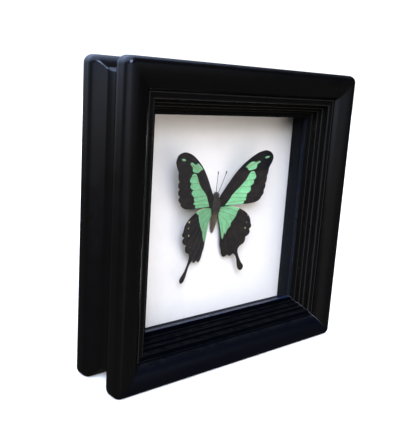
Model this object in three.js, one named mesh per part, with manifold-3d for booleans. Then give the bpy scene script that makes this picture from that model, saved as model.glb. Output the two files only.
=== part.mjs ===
// Framed butterfly specimen: a deep, square shadow-box frame with a stepped moulding on the
// front and a plain one on the back, a sheet of glass, a white backing board and one spread
// swallowtail butterfly fixed to it.
//
// Millimetres. X runs to the right, Y from the front to the back and Z up. The origin is at
// the middle of the frame's depth, under the middle of its bottom edge.

import * as THREE from 'three';
import { mergeVertices } from 'three/addons/utils/BufferGeometryUtils.js';
import Module from 'manifold-3d';

const wasm = await Module();
wasm.setup();

// ---------------------------------------------------------------- driving dimensions

const FRAME_WIDTH = 200; // outer width and height
const FRAME_DEPTH = 49.5; // front crest to back face
const HALF = FRAME_WIDTH / 2;
const JOINT_DEPTH = 24.5; // where the front moulding meets the rear one
const GAP = 0.3; // clearance between neighbouring pieces
const CORNER_RADIUS = 5; // the outer corners are sanded round
const CLEAR = 0.02; // keeps a cutting face off the face beside it
const MERGE_DISTANCE = 1e-4; // corners closer than this are one corner
const CURVE_STEPS = 6; // straight pieces in each curve of a section

// Sections are drawn as inset (from the outer face inwards) and depth (from the front).
const FLANGE = 9.5; // from the crest to where the outer face starts to curve in
const FRONT_EDGE = { inset: 3.8, depth: 5 }; // the rounded outer edge of each moulding
const REAR_EDGE = { inset: 4.2, depth: 4.6 };
const GROOVE_INSET = 8.2; // floor of the groove round the outside
const OGEE_TURN = { inset: 6, depth: 18.8 }; // where the outer curve turns from round to hollow
const OGEE_ROUND = [{ inset: 3.6, depth: 16.6 }, { inset: 0, depth: 13 }]; // its control points
const OGEE_HOLLOW_DEPTH = 21.6;
const BEAD_WIDTH = 14; // from the crest down to the first quirk
const BEAD_FALL = 6;
const FILLET = 0.4; // the small steps beside the two round beads
const RIDGE = { inset: 20.7, depth: 5.6, radius: 1.5 }; // small bead beside the quirk
const COVE_START = { inset: 22.4, depth: 6.9 };
const COVE_END = { inset: 26.6, depth: 12.4 };
const INNER_BEAD = { inset: 27, depth: 16.4, radius: 1.8 };
const SIGHT_INSET = 31.8; // edge of the visible opening
const SIGHT_DEPTH = 17.5;
const LIP_BACK = 20.5; // the glass bears on the back of the lip
const RABBET_INSET = 22; // inside faces of the rabbet and of the rear moulding

const GLASS_THICKNESS = 1.8;
const SPACER_THICKNESS = 3.5;
const BACKING_DEPTH = 37.2; // front face of the white board
const BACKING_THICKNESS = 2;
const PANEL_THICKNESS = 2.7;
const TAB = { length: 9, width: 6, thickness: 0.7, from_centre: 45 };
const HANGER = { width: 44, height: 8, thickness: 0.9, teeth: 9, tooth: 1.8, drop: 22, ear: 4.5 };
const RIVET = { radius: 1.7, top: 1.2, height: 0.9, sides: 20 };

const SPECIMEN_X = -1.7; // the butterfly sits a little to the left of the middle
const SPECIMEN_DEPTH = 34.4; // the line where the two wing planes meet
const WING_LIFT = THREE.MathUtils.degToRad(11); // the wings rise towards the glass
const BODY_PITCH = THREE.MathUtils.degToRad(3); // the head end is a little nearer to it
const WING_THICKNESS = 0.4;
const WING_BOW = 0.7; // how far a wing arches between root and tip
const WING_REACH = 48;
const WING_MARGIN = 2; // how far the uncut sheet runs past a wing's reach
const WING_CUT = 6; // half the height of the outline that cuts a wing
const WING_GRID = 2.8; // mesh step over a wing
const HINDWING_BEHIND = 0.75; // the forewing lies over the hindwing
const TIP_START = 28; // from here outwards the two forewings differ a little
const TAIL_START = -22; // from here down the two hindwings differ a little

// Body pieces are measured from the middle of the wing roots, with Z towards the head.
const THORAX = { radii: [3.1, 2.45, 6.4], centre: [0, 0, 5.6], sides: 20 };
const HEAD = { radii: [1.75, 1.6, 1.9], centre: [0, 0.2, 13.1], sides: 16 };
const EYE = { radii: [0.9, 1, 1.1], out: 1.25, up: 13.6, sides: 12 };
const LUMP_RINGS = 0.7; // rings in an egg-shaped lump for each side round it
const ABDOMEN = { length: 16.1, start: 2, radius: 2.15, flatten: 0.95, droop: 0.9, rings: 20, sides: 14 };
const ABDOMEN_SWELL = { start: 0.04, rate: 0.62, power: 0.75 }; // how fast it widens from the tip
const ABDOMEN_SEGMENTS = { count: 6, ripple: 0.035 }; // its faint rings
const ANTENNA = {
  path: [[0.7, -0.4, 14.2], [1.5, -1.1, 17], [2.6, -2.2, 22.5], [3.6, -3.3, 28.4]],
  radius: 0.22,
  club: [0.42, 0.42, 1.2],
  steps: 14,
  sides: 10,
};

// ---------------------------------------------------------------- finishes

const finish = (colour, roughness, metalness = 0) =>
  new THREE.MeshStandardMaterial({ color: colour, roughness, metalness });

const blackPaint = () => finish(0x141417, 0.38);
const whiteBoard = () => finish(0xeeeef2, 0.85);
const wingScales = () => finish(0x2b2522, 0.75);
const bodyFur = () => finish(0x2a231f, 0.9);

// ---------------------------------------------------------------- mesh helpers

/** A manifold solid made from a closed geometry. */
function toSolid(geometry) {
  const bare = geometry.clone();
  bare.deleteAttribute('normal');
  bare.deleteAttribute('uv');
  const merged = mergeVertices(bare, MERGE_DISTANCE);
  return new wasm.Manifold(new wasm.Mesh({
    numProp: 3,
    vertProperties: new Float32Array(merged.attributes.position.array),
    triVerts: new Uint32Array(merged.index.array),
  }));
}

/** A three.js geometry made from a manifold solid. */
function toGeometry(solid) {
  const mesh = solid.getMesh();
  const geometry = new THREE.BufferGeometry();
  geometry.setAttribute('position', new THREE.BufferAttribute(new Float32Array(mesh.vertProperties), 3));
  geometry.setIndex(new THREE.BufferAttribute(new Uint32Array(mesh.triVerts), 1));
  geometry.computeVertexNormals();
  return geometry;
}

/** Moves every vertex of a geometry through a function that turns a point into a point. */
function reshape(geometry, move) {
  const position = geometry.attributes.position;
  const point = new THREE.Vector3();
  for (let i = 0; i < position.count; i += 1) {
    move(point.fromBufferAttribute(position, i));
    position.setXYZ(i, point.x, point.y, point.z);
  }
  geometry.computeVertexNormals();
  return geometry;
}

/** Turns a closed geometry inside out, which a mirrored one needs. */
function flip(geometry) {
  const flipped = geometry.index ? geometry.toNonIndexed() : geometry;
  const position = flipped.attributes.position;
  const first = new THREE.Vector3();
  const second = new THREE.Vector3();
  for (let i = 0; i < position.count; i += 3) {
    first.fromBufferAttribute(position, i + 1);
    second.fromBufferAttribute(position, i + 2);
    position.setXYZ(i + 1, second.x, second.y, second.z);
    position.setXYZ(i + 2, first.x, first.y, first.z);
  }
  flipped.computeVertexNormals();
  return flipped;
}

function named(name, geometry, material) {
  const mesh = new THREE.Mesh(geometry, material);
  mesh.name = name;
  return mesh;
}

/** A flat-sided block given by its middle and its size. */
function block(name, size, centre, material) {
  const mesh = named(name, new THREE.BoxGeometry(...size), material);
  mesh.position.set(...centre);
  return mesh;
}

/** The Y of a depth that is measured from the front crest. */
const atDepth = (depth) => depth - FRAME_DEPTH / 2;

// ---------------------------------------------------------------- mouldings

/** Runs a section from the groove floor up to the outer face; place turns a depth into its own. */
function drawOgee(section, place) {
  const [lower, upper] = OGEE_ROUND;
  section.quadraticCurveTo(GROOVE_INSET, place(OGEE_HOLLOW_DEPTH), OGEE_TURN.inset, place(OGEE_TURN.depth));
  section.bezierCurveTo(lower.inset, place(lower.depth), upper.inset, place(upper.depth), 0, place(FLANGE));
}

/** The stepped front moulding, from the back of its flange round to the groove. */
function frontSection() {
  const { inset, depth } = FRONT_EDGE;
  const section = new THREE.Shape();
  section.moveTo(0, FLANGE);
  section.lineTo(0, depth);
  section.absellipse(inset, depth, inset, depth, Math.PI, 1.5 * Math.PI, false);
  section.absellipse(inset, BEAD_FALL, BEAD_WIDTH, BEAD_FALL, 1.5 * Math.PI, 2 * Math.PI, false);
  section.lineTo(RIDGE.inset - RIDGE.radius, RIDGE.depth + FILLET);
  section.absarc(RIDGE.inset, RIDGE.depth, RIDGE.radius, Math.PI, 2 * Math.PI, false);
  section.lineTo(COVE_START.inset, COVE_START.depth);
  section.absellipse(COVE_END.inset, COVE_START.depth, COVE_END.inset - COVE_START.inset,
    COVE_END.depth - COVE_START.depth, Math.PI, 0.5 * Math.PI, true);
  section.lineTo(INNER_BEAD.inset, COVE_END.depth);
  section.lineTo(INNER_BEAD.inset, INNER_BEAD.depth - INNER_BEAD.radius);
  section.absarc(INNER_BEAD.inset, INNER_BEAD.depth, INNER_BEAD.radius, 1.5 * Math.PI, 2 * Math.PI, false);
  section.lineTo(INNER_BEAD.inset + INNER_BEAD.radius, SIGHT_DEPTH - FILLET);
  section.lineTo(SIGHT_INSET, SIGHT_DEPTH);
  section.lineTo(SIGHT_INSET, LIP_BACK);
  section.lineTo(RABBET_INSET, LIP_BACK);
  section.lineTo(RABBET_INSET, JOINT_DEPTH);
  section.lineTo(GROOVE_INSET, JOINT_DEPTH);
  drawOgee(section, (depthHere) => depthHere);
  return section;
}

/** The plain rear moulding, a mirror of the front one's outside with a straight inside. */
function rearSection() {
  const { inset, depth } = REAR_EDGE;
  const back = FRAME_DEPTH;
  const section = new THREE.Shape();
  section.moveTo(0, back - FLANGE);
  section.lineTo(0, back - depth);
  section.absellipse(inset, back - depth, inset, depth, Math.PI, 0.5 * Math.PI, true);
  section.lineTo(RABBET_INSET, back);
  section.lineTo(RABBET_INSET, JOINT_DEPTH + GAP);
  section.lineTo(GROOVE_INSET, JOINT_DEPTH + GAP);
  drawOgee(section, (depthHere) => back - depthHere);
  return section;
}

/** True if the faces of a closed geometry point inwards. */
function isInsideOut(geometry) {
  const flat = geometry.index ? geometry.toNonIndexed() : geometry;
  const position = flat.attributes.position;
  const [a, b, c] = [new THREE.Vector3(), new THREE.Vector3(), new THREE.Vector3()];
  let volume = 0;
  for (let i = 0; i < position.count; i += 3) {
    a.fromBufferAttribute(position, i);
    b.fromBufferAttribute(position, i + 1);
    c.fromBufferAttribute(position, i + 2);
    volume += a.dot(b.cross(c));
  }
  return volume < 0;
}

const outward = (geometry) => (isInsideOut(geometry) ? flip(geometry) : geometry);

/** A square prism with round corners that trims the ends of the rails. */
function cornerTrim() {
  const edge = HALF + CLEAR;
  const middle = HALF - CORNER_RADIUS;
  const square = new THREE.Shape();
  square.moveTo(edge, -middle);
  [0, 1, 2, 3].forEach((quarter) => {
    const start = 0.5 * Math.PI * quarter;
    const x = middle * (quarter === 0 || quarter === 3 ? 1 : -1);
    const z = middle * (quarter < 2 ? 1 : -1);
    square.absarc(x, z, CORNER_RADIUS + CLEAR, start, start + 0.5 * Math.PI, false);
  });
  const prism = new THREE.ExtrudeGeometry(square,
    { depth: 2 * FRAME_DEPTH, bevelEnabled: false, curveSegments: CURVE_STEPS });
  return toSolid(outward(reshape(prism, (p) => p.set(p.x, p.z - FRAME_DEPTH, p.y))));
}

/** One mitred rail along the bottom of the frame, centred on the middle of the opening. */
function railGeometry(section, trim) {
  const bar = new THREE.ExtrudeGeometry(section, { depth: 2, bevelEnabled: false, curveSegments: CURVE_STEPS });
  reshape(bar, (p) => {
    const inset = p.x;
    const depth = p.y;
    const along = (p.z - 1) * (HALF - inset - GAP / 2);
    p.set(along, atDepth(depth), inset - HALF);
  });
  return toGeometry(toSolid(outward(bar)).intersect(trim));
}

/** Four mitred rails, turned a quarter at a time round the middle of the frame. */
function railRing(prefix, section) {
  const ring = new THREE.Group();
  const trim = cornerTrim();
  ring.position.z = HALF;
  ['bottom', 'left', 'top', 'right'].forEach((side, quarter) => {
    const rail = named(`${prefix}_rail_${side}`, railGeometry(section, trim), blackPaint());
    rail.rotation.y = quarter * 0.5 * Math.PI;
    ring.add(rail);
  });
  return ring;
}

// ---------------------------------------------------------------- glazing and boards

/** Everything that lies flat inside the frame: glass, spacers, backing and back panel. */
function filling() {
  const group = new THREE.Group();
  group.position.z = HALF;
  const pane = FRAME_WIDTH - 2 * (RABBET_INSET + GAP);
  const glassBack = LIP_BACK + GAP + GLASS_THICKNESS;
  const sheet = (name, front, thickness, material) =>
    block(name, [pane, thickness, pane], [0, atDepth(front + thickness / 2), 0], material);
  group.add(sheet('glass_pane', LIP_BACK + GAP, GLASS_THICKNESS, finish(0xf4f8f8, 0.03)));
  group.add(sheet('backing_board', BACKING_DEPTH, BACKING_THICKNESS, whiteBoard()));
  const panelFront = BACKING_DEPTH + BACKING_THICKNESS + GAP;
  group.add(sheet('back_panel', panelFront, PANEL_THICKNESS, finish(0x6b4d33, 0.8)));

  const spacerFront = glassBack + GAP;
  const spacerBack = BACKING_DEPTH - GAP;
  const middle = atDepth((spacerFront + spacerBack) / 2);
  const offset = pane / 2 - SPACER_THICKNESS / 2;
  const inner = pane - 2 * (SPACER_THICKNESS + GAP);
  for (const [side, sign] of [['top', 1], ['bottom', -1]]) {
    group.add(block(`spacer_${side}`, [pane, spacerBack - spacerFront, SPACER_THICKNESS],
      [0, middle, sign * offset], finish(0x0c0c0e, 0.6)));
  }
  for (const [side, sign] of [['left', -1], ['right', 1]]) {
    group.add(block(`spacer_${side}`, [SPACER_THICKNESS, spacerBack - spacerFront, inner],
      [sign * offset, middle, 0], finish(0x0c0c0e, 0.6)));
  }
  return group;
}

/** A pointed steel tab that holds the back panel in, lying along +X from a rail. */
function tabGeometry() {
  const tab = new THREE.Shape();
  tab.moveTo(0, -TAB.width / 2);
  tab.lineTo(TAB.length - TAB.width / 2, -TAB.width / 2);
  tab.absarc(TAB.length - TAB.width / 2, 0, TAB.width / 2, -0.5 * Math.PI, 0.5 * Math.PI, false);
  tab.lineTo(0, TAB.width / 2);
  const geometry = new THREE.ExtrudeGeometry(tab,
    { depth: TAB.thickness, bevelEnabled: false, curveSegments: CURVE_STEPS });
  return outward(reshape(geometry, (p) => p.set(p.x, p.z, p.y)));
}

/** Two tabs on each side of the recess. */
function tabs() {
  const group = new THREE.Group();
  const front = BACKING_DEPTH + BACKING_THICKNESS + PANEL_THICKNESS + 2 * GAP;
  group.position.set(0, atDepth(front), HALF);
  ['left', 'top', 'right', 'bottom'].forEach((side, quarter) => {
    const turned = new THREE.Group();
    turned.rotation.y = quarter * 0.5 * Math.PI;
    for (const [end, sign] of [['a', -1], ['b', 1]]) {
      const tab = named(`tab_${side}_${end}`, tabGeometry(), finish(0xa8a8aa, 0.35, 1));
      tab.position.set(RABBET_INSET + GAP - HALF, 0, sign * TAB.from_centre);
      turned.add(tab);
    }
    group.add(turned);
  });
  return group;
}

/** A sawtooth hanger on the back panel, with the two rivets that hold it. */
function hanger() {
  const group = new THREE.Group();
  const panelBack = BACKING_DEPTH + BACKING_THICKNESS + PANEL_THICKNESS + GAP;
  const top = HALF - RABBET_INSET - HANGER.drop;
  group.position.set(0, atDepth(panelBack + GAP), HALF + top);
  const half = HANGER.width / 2;
  const plate = new THREE.Shape();
  plate.moveTo(-half - HANGER.ear, 0);
  plate.lineTo(-half - HANGER.ear, -HANGER.height);
  plate.lineTo(-half, -HANGER.height);
  const step = HANGER.width / HANGER.teeth;
  for (let i = 0; i < HANGER.teeth; i += 1) {
    plate.lineTo(-half + (i + 0.5) * step, HANGER.tooth - HANGER.height);
    plate.lineTo(-half + (i + 1) * step, -HANGER.height);
  }
  plate.lineTo(half + HANGER.ear, -HANGER.height);
  plate.lineTo(half + HANGER.ear, 0);
  const bar = new THREE.ExtrudeGeometry(plate, { depth: HANGER.thickness, bevelEnabled: false });
  group.add(named('hanger', outward(reshape(bar, (p) => p.set(p.x, p.z, p.y))), finish(0xb8a46a, 0.35, 1)));
  for (const [side, sign] of [['left', -1], ['right', 1]]) {
    const head = new THREE.CylinderGeometry(RIVET.top, RIVET.radius, RIVET.height, RIVET.sides);
    const rivet = named(`hanger_rivet_${side}`, head, finish(0xb0b0b0, 0.35, 1));
    rivet.position.set(sign * (half + HANGER.ear / 2), HANGER.thickness + GAP + RIVET.height / 2,
      -HANGER.height / 2);
    group.add(rivet);
  }
  return group;
}

// ---------------------------------------------------------------- butterfly

// Each outline runs round one wing as seen from the front. A stretch is a smooth curve and
// two stretches meet in a corner. Points are outwards from the body line and upwards.

const FOREWING = [
  [[2, 10], [4.6, 14.8], [8.2, 20.6], [13, 27.7], [18, 33.5], [23, 38.1], [28, 41.6], [33, 43.9],
    [38, 45], [42, 44.3], [44.9, 42.4], [46, 39.4], [45.2, 36.6], [43.5, 33.6], [42.2, 30.6], [41.7, 27.4]],
  [[42, 25], [41.3, 22.6]],
  [[41.5, 19.8], [40.8, 17.6]],
  [[40.6, 15.2], [39.4, 12.6]],
  [[38, 10.2], [35.8, 8.4], [33, 7.3], [28, 6.6], [23, 6.2], [16, 6], [9, 5.2], [2, 4]],
];

const HINDWING = [
  [[2, 4.2], [6, 5.3], [10, 5.5], [14, 5.1], [18, 4.2], [22, 2.5], [26, 0.3], [29.2, -2.3],
    [31.2, -5.2], [32, -8.2], [33.3, -10.4]],
  [[32.4, -11.8], [31.2, -12.9]],
  [[32.1, -14.4], [32, -15.9], [30.8, -17.3], [28.6, -18.5]],
  [[28.6, -20.4], [28.2, -22.4], [26.9, -23.9], [24.7, -25.2]],
  [[23.5, -27.2], [23.4, -29.8], [24.5, -32.8], [26, -36], [27.8, -39], [29.9, -41.2], [30.7, -43.2],
    [29.7, -45.2], [28, -45.8], [26.2, -44.6], [24.7, -41.8], [23.8, -38.2], [22.8, -35], [21.3, -32.6],
    [19.5, -31.4]],
  [[18.3, -32.6], [16.7, -33.2], [15, -31.9]],
  [[13.5, -33], [12, -33.6], [10.6, -32.5], [9.4, -30.2], [8.8, -27.2]],
  [[7.5, -24], [6.8, -19], [6, -14], [5, -9], [3.9, -4.5], [2, -1.5]],
];

// The specimen's two sides are not quite alike: how far each forewing tip is drawn in, and
// how far each tail leans outwards and is shortened.
const SIDES = {
  left: { side: -1, tip: 0.02, lean: 0.04, lift: 0.01 },
  right: { side: 1, tip: 0.085, lean: -0.04, lift: 0.07 },
};

/** A closed shape that runs along the stretches of an outline. */
function outlineShape(stretches, { tip, lean, lift }) {
  const place = ([x, z]) => {
    const beyond = Math.max(0, x - TIP_START);
    const below = Math.max(0, TAIL_START - z);
    return new THREE.Vector2(x - tip * beyond + lean * below, z + lift * below);
  };
  const shape = new THREE.Shape();
  const start = place(stretches[0][0]);
  shape.moveTo(start.x, start.y);
  stretches.forEach((stretch, index) => {
    const points = (index === 0 ? stretch.slice(1) : stretch).map(place);
    shape.splineThru(points);
  });
  shape.closePath();
  return shape;
}

/** How far a wing stands out from its plane, towards the glass. */
const wingBow = (x) => WING_BOW * Math.sin(Math.PI * Math.min(1, Math.max(0, x / WING_REACH)));

/** A thin sheet with the wing's curve, larger than any wing and moved forward to its layer. */
function wingSheet(forward) {
  const size = 2 * (WING_REACH + WING_MARGIN);
  const steps = Math.round(size / WING_GRID);
  const sheet = new THREE.BoxGeometry(size, WING_THICKNESS, size, steps, 1, steps);
  return reshape(sheet, (p) => {
    p.y -= wingBow(p.x) + forward;
  });
}

/** One wing: the curved sheet cut to its outline, raised and trimmed clear of the body. */
function wingGeometry(stretches, shape, forward, body) {
  const prism = new THREE.ExtrudeGeometry(outlineShape(stretches, shape),
    { depth: 2 * WING_CUT, bevelEnabled: false, curveSegments: 2 });
  const cutter = outward(reshape(prism, (p) => p.set(p.x, p.z - WING_CUT, p.y)));
  const flat = toGeometry(toSolid(wingSheet(forward)).intersect(toSolid(cutter)));
  const raised = reshape(flat, (p) => {
    const across = p.x * Math.cos(WING_LIFT) + p.y * Math.sin(WING_LIFT);
    const back = p.y * Math.cos(WING_LIFT) - p.x * Math.sin(WING_LIFT);
    p.set(shape.side * across, back, p.z);
  });
  return toGeometry(toSolid(outward(raised)).subtract(body));
}

/** An egg-shaped lump, stretched along each axis and moved to its place. */
function lump(radii, centre, sides) {
  const ball = new THREE.SphereGeometry(1, sides, Math.round(sides * LUMP_RINGS));
  ball.scale(...radii);
  ball.translate(...centre);
  return ball;
}

/** The abdomen: rings that swell and narrow down to a blunt tip, drooping to the board. */
function abdomenGeometry(swell) {
  const { length, start, radius, flatten, droop, rings, sides } = ABDOMEN;
  const { count, ripple } = ABDOMEN_SEGMENTS;
  const profile = [new THREE.Vector2(0, -length - swell)];
  for (let i = 1; i < rings; i += 1) {
    const along = i / rings;
    const turn = Math.min(0.5, ABDOMEN_SWELL.start + ABDOMEN_SWELL.rate * along);
    const belly = Math.pow(Math.sin(Math.PI * turn), ABDOMEN_SWELL.power);
    const ring = 1 + ripple * Math.cos(2 * Math.PI * count * along);
    profile.push(new THREE.Vector2(radius * belly * ring + swell, -length * (1 - along)));
  }
  profile.push(new THREE.Vector2(0, swell));
  const lathe = new THREE.LatheGeometry(profile, sides);
  return outward(reshape(lathe, (p) => {
    const sag = droop * Math.pow(p.y / length, 2);
    p.set(p.x, -p.z * flatten + sag, p.y + start);
  }));
}

/** Head, eyes, thorax and abdomen in one piece; swell makes a larger copy to cut with. */
function bodySolid(swell = 0) {
  const part = ({ radii, centre, sides }) =>
    toSolid(lump(radii.map((radius) => radius + swell), centre, sides));
  const eye = (side) => part({ ...EYE, centre: [side * EYE.out, 0, EYE.up] });
  return part(THORAX).add(part(HEAD)).add(eye(-1)).add(eye(1)).add(toSolid(abdomenGeometry(swell)));
}

/** A club-tipped feeler that rises from the head towards the glass. */
function antennaGeometry(side, body) {
  const points = ANTENNA.path.map(([x, y, z]) => new THREE.Vector3(side * x, y, z));
  const [before, tip] = points.slice(-2);
  const round = new THREE.Shape().absarc(0, 0, ANTENNA.radius, 0, 2 * Math.PI, false);
  const stem = new THREE.ExtrudeGeometry(round,
    { steps: ANTENNA.steps, extrudePath: new THREE.CatmullRomCurve3(points), curveSegments: 3 });
  const club = lump(ANTENNA.club, [0, 0, 0], ANTENNA.sides);
  const along = tip.clone().sub(before).normalize();
  club.applyQuaternion(new THREE.Quaternion().setFromUnitVectors(new THREE.Vector3(0, 0, 1), along));
  club.translate(tip.x, tip.y, tip.z);
  return toGeometry(toSolid(outward(stem)).add(toSolid(club)).subtract(body));
}

/** The spread butterfly, standing on the backing board. */
function butterfly() {
  const specimen = new THREE.Group();
  specimen.position.set(SPECIMEN_X, atDepth(SPECIMEN_DEPTH), HALF);
  specimen.rotation.x = BODY_PITCH;
  const clearance = bodySolid(GAP);
  for (const [name, shape] of Object.entries(SIDES)) {
    specimen.add(named(`forewing_${name}`, wingGeometry(FOREWING, shape, 0, clearance), wingScales()));
    specimen.add(named(`hindwing_${name}`,
      wingGeometry(HINDWING, shape, -HINDWING_BEHIND, clearance), wingScales()));
    specimen.add(named(`antenna_${name}`, antennaGeometry(shape.side, clearance), bodyFur()));
  }
  specimen.add(named('body', toGeometry(bodySolid()), bodyFur()));
  return specimen;
}

// ---------------------------------------------------------------- assembly

const framedButterfly = new THREE.Group();
framedButterfly.add(railRing('front', frontSection()));
framedButterfly.add(railRing('rear', rearSection()));
framedButterfly.add(filling());
framedButterfly.add(tabs());
framedButterfly.add(hanger());
framedButterfly.add(butterfly());

export default framedButterfly;
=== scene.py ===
"""Framed butterfly specimen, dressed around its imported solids.

A deep black shadow-box frame of two mouldings holds a glass pane, a white backing board and one
spread swallowtail butterfly with a pale green band. Lengths are millimetres in the row frame
until a mesh is made, where they turn into metres.
"""

from __future__ import annotations

import logging
import math
import random
from dataclasses import dataclass, field
from enum import Enum
from typing import Callable, Sequence

import bmesh
import bpy
import numpy as np
from mathutils import Matrix, Quaternion, Vector, noise
from mathutils.geometry import delaunay_2d_cdt

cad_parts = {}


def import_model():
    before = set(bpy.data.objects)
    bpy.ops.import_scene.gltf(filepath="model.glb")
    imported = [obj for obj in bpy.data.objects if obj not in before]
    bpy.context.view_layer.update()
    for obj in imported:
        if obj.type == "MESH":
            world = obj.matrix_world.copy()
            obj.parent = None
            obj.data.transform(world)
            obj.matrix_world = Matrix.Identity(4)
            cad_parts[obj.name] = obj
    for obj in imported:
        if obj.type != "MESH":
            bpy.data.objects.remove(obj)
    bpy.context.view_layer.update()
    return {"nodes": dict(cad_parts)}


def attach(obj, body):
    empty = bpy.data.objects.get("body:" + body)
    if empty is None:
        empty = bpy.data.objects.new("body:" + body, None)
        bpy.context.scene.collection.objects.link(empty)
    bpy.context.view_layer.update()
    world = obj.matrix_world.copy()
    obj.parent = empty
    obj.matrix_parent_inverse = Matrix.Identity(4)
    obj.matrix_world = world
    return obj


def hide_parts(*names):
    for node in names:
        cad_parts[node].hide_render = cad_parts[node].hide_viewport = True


LOG = logging.getLogger("framed_butterfly")
BODY = "root"
MM = 0.001  # one millimetre, in metres
HALF_WIDTH = 100.0  # half the frame's width and height
DEPTH = 49.5  # the frame's depth

Point = tuple[float, float]
Triple = tuple[float, float, float]
Colour = Triple
Shape = tuple[list[Vector], list[list[int]]]


# ------------------------------------------------------------------------------ named choices


class Slot(Enum):
    """The record's material slots, passed along with the new pieces but not used."""

    FRAME_PAINT = "frame_paint"
    WING_SCALES = "wing_scales"
    BODY_FUR = "body_fur"


class Named(Enum):
    """A choice that the CAD nodes spell in small letters."""

    @property
    def label(self) -> str:
        """The choice as the CAD nodes spell it."""
        return self.name.lower()


class Edge(Named):
    """The frame's four sides, in the order a quarter turn takes one to the next."""

    BOTTOM = 0
    LEFT = 1
    TOP = 2
    RIGHT = 3

    @property
    def upright(self) -> bool:
        """True for the two sides that stand."""
        return self in (Edge.LEFT, Edge.RIGHT)


class Hand(Named):
    """The butterfly's two sides, as seen from the front."""

    LEFT = -1
    RIGHT = 1


class Zone(Enum):
    """The parts of a moulding that take the lacquer differently, in the order of its materials."""

    CREST = "crest"
    STEPS = "steps"
    LIP = "lip"
    # Thin bands along the ridge and the step edges, lighter as painted highlight lines.
    EDGES = "edges"


class Effect(Enum):
    """The shader node groups that several finishes share."""

    MOTTLE = "mottle"
    GRAIN = "grain"
    EDGE_WEAR = "edge_wear"
    DUST = "dust"


# ------------------------------------------------------------------------------ node helpers


class NodeSheet:
    """Adds nodes to one tree and feeds their inputs."""

    def __init__(self, tree: bpy.types.NodeTree) -> None:
        """Starts on a tree, which may already hold nodes.

        Args:
            tree: The material's, world's or group's node tree.
        """
        self.tree = tree

    def add(
        self, kind: str, inputs: dict[str | int, object] | None = None, **settings: object
    ) -> bpy.types.Node:
        """Adds one node.

        Args:
            kind: The node's type name.
            inputs: Values or sockets for its inputs, by name or index.
            **settings: Properties of the node itself.

        Returns:
            The new node.
        """
        node = self.tree.nodes.new(kind)
        for name, value in settings.items():
            setattr(node, name, value)
        self.fill(node, inputs or {})
        return node

    def fill(self, node: bpy.types.Node, inputs: dict[str | int, object]) -> None:
        """Feeds several inputs of a node, by name or index."""
        for key, value in inputs.items():
            self.feed(node.inputs[key], value)

    def feed(self, socket: bpy.types.NodeSocket, value: object) -> None:
        """Links a socket to an input, or sets the input's own value.

        Args:
            socket: The input to feed.
            value: A socket, a number, a colour or a vector.
        """
        if isinstance(value, bpy.types.NodeSocket):
            self.tree.links.new(value, socket)
        elif socket.type == "RGBA" and len(value) == 3:
            socket.default_value = (*value, 1.0)
        else:
            socket.default_value = value

    def math(self, operation: str, *values: object, clamp: bool = False) -> bpy.types.NodeSocket:
        """Adds a Math node.

        Args:
            operation: The Math node's operation.
            *values: One to three numbers or sockets.
            clamp: Whether the result is kept between 0 and 1.

        Returns:
            The node's output.
        """
        inputs = dict(enumerate(values))
        return self.add("ShaderNodeMath", inputs, operation=operation, use_clamp=clamp).outputs[0]

    def times(self, *values: object) -> bpy.types.NodeSocket:
        """Multiplies numbers or sockets with one another.

        Args:
            *values: Two or more numbers or sockets.

        Returns:
            The product's socket.
        """
        product = values[0]
        for value in values[1:]:
            product = self.math("MULTIPLY", product, value)
        return product

    def blend(self, first: object, share: float, second: object, other: float) -> bpy.types.NodeSocket:
        """Adds a share of one value to a share of another.

        Args:
            first: The first value.
            share: Its share.
            second: The second value.
            other: Its share.

        Returns:
            The sum's socket.
        """
        return self.math("ADD", self.times(first, share), self.times(second, other))

    def ramp(
        self, value: object, start: object, end: object, low: object = 0.0, high: object = 1.0
    ) -> bpy.types.NodeSocket:
        """Turns a range of values smoothly into another.

        Args:
            value: The value to map.
            start: The value that gives low.
            end: The value that gives high.
            low: The result at start.
            high: The result at end.

        Returns:
            The mapped value's socket.
        """
        inputs = {"Value": value, 1: start, 2: end, 3: low, 4: high}
        return self.add("ShaderNodeMapRange", inputs, interpolation_type="SMOOTHSTEP").outputs["Result"]

    def around(
        self, value: float, below: float, above: float, pattern: object, span: Point = (0.2, 0.8)
    ) -> bpy.types.NodeSocket:
        """Varies a value with a pattern.

        Args:
            value: The middle value.
            below: How far under it the result may fall.
            above: How far over it the result may rise.
            pattern: The pattern's socket.
            span: The pattern's values that give the lowest and the highest result.

        Returns:
            The varied value's socket.
        """
        return self.ramp(pattern, *span, value - below, value + above)

    def split(self, vector: object) -> bpy.types.NodeOutputs:
        """The X, Y and Z of a vector."""
        return self.add("ShaderNodeSeparateXYZ", {0: vector}).outputs

    def mix(self, factor: object, first: object, second: object) -> bpy.types.NodeSocket:
        """Mixes two colours.

        Args:
            factor: The second colour's share.
            first: The colour at 0.
            second: The colour at 1.

        Returns:
            The mixed colour's socket.
        """
        return self.add("ShaderNodeMix", {0: factor, 6: first, 7: second}, data_type="RGBA").outputs[2]

    def attribute(self, name: str) -> bpy.types.NodeSocket:
        """The value of a mesh attribute."""
        return self.add("ShaderNodeAttribute", attribute_name=name).outputs["Fac"]

    def effect(self, effect: Effect, **values: object) -> bpy.types.NodeSocket:
        """Places a shared effect.

        Args:
            effect: Which one.
            **values: Its inputs, in small letters.

        Returns:
            The effect's output.
        """
        node = self.add("ShaderNodeGroup", node_tree=effect_group(effect))
        self.fill(node, {name.title(): value for name, value in values.items()})
        return node.outputs[0]


# ------------------------------------------------------------------------------ shared effects

# Where each mask starts and where it is full.

WORN_SHARPNESS = (0.53, 0.62)
WEAR_GAPS = (0.45, 0.65)
DUSTY_SLOPE = (0.35, 0.95)
DUST_PATCHES = (0.3, 0.7)


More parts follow.
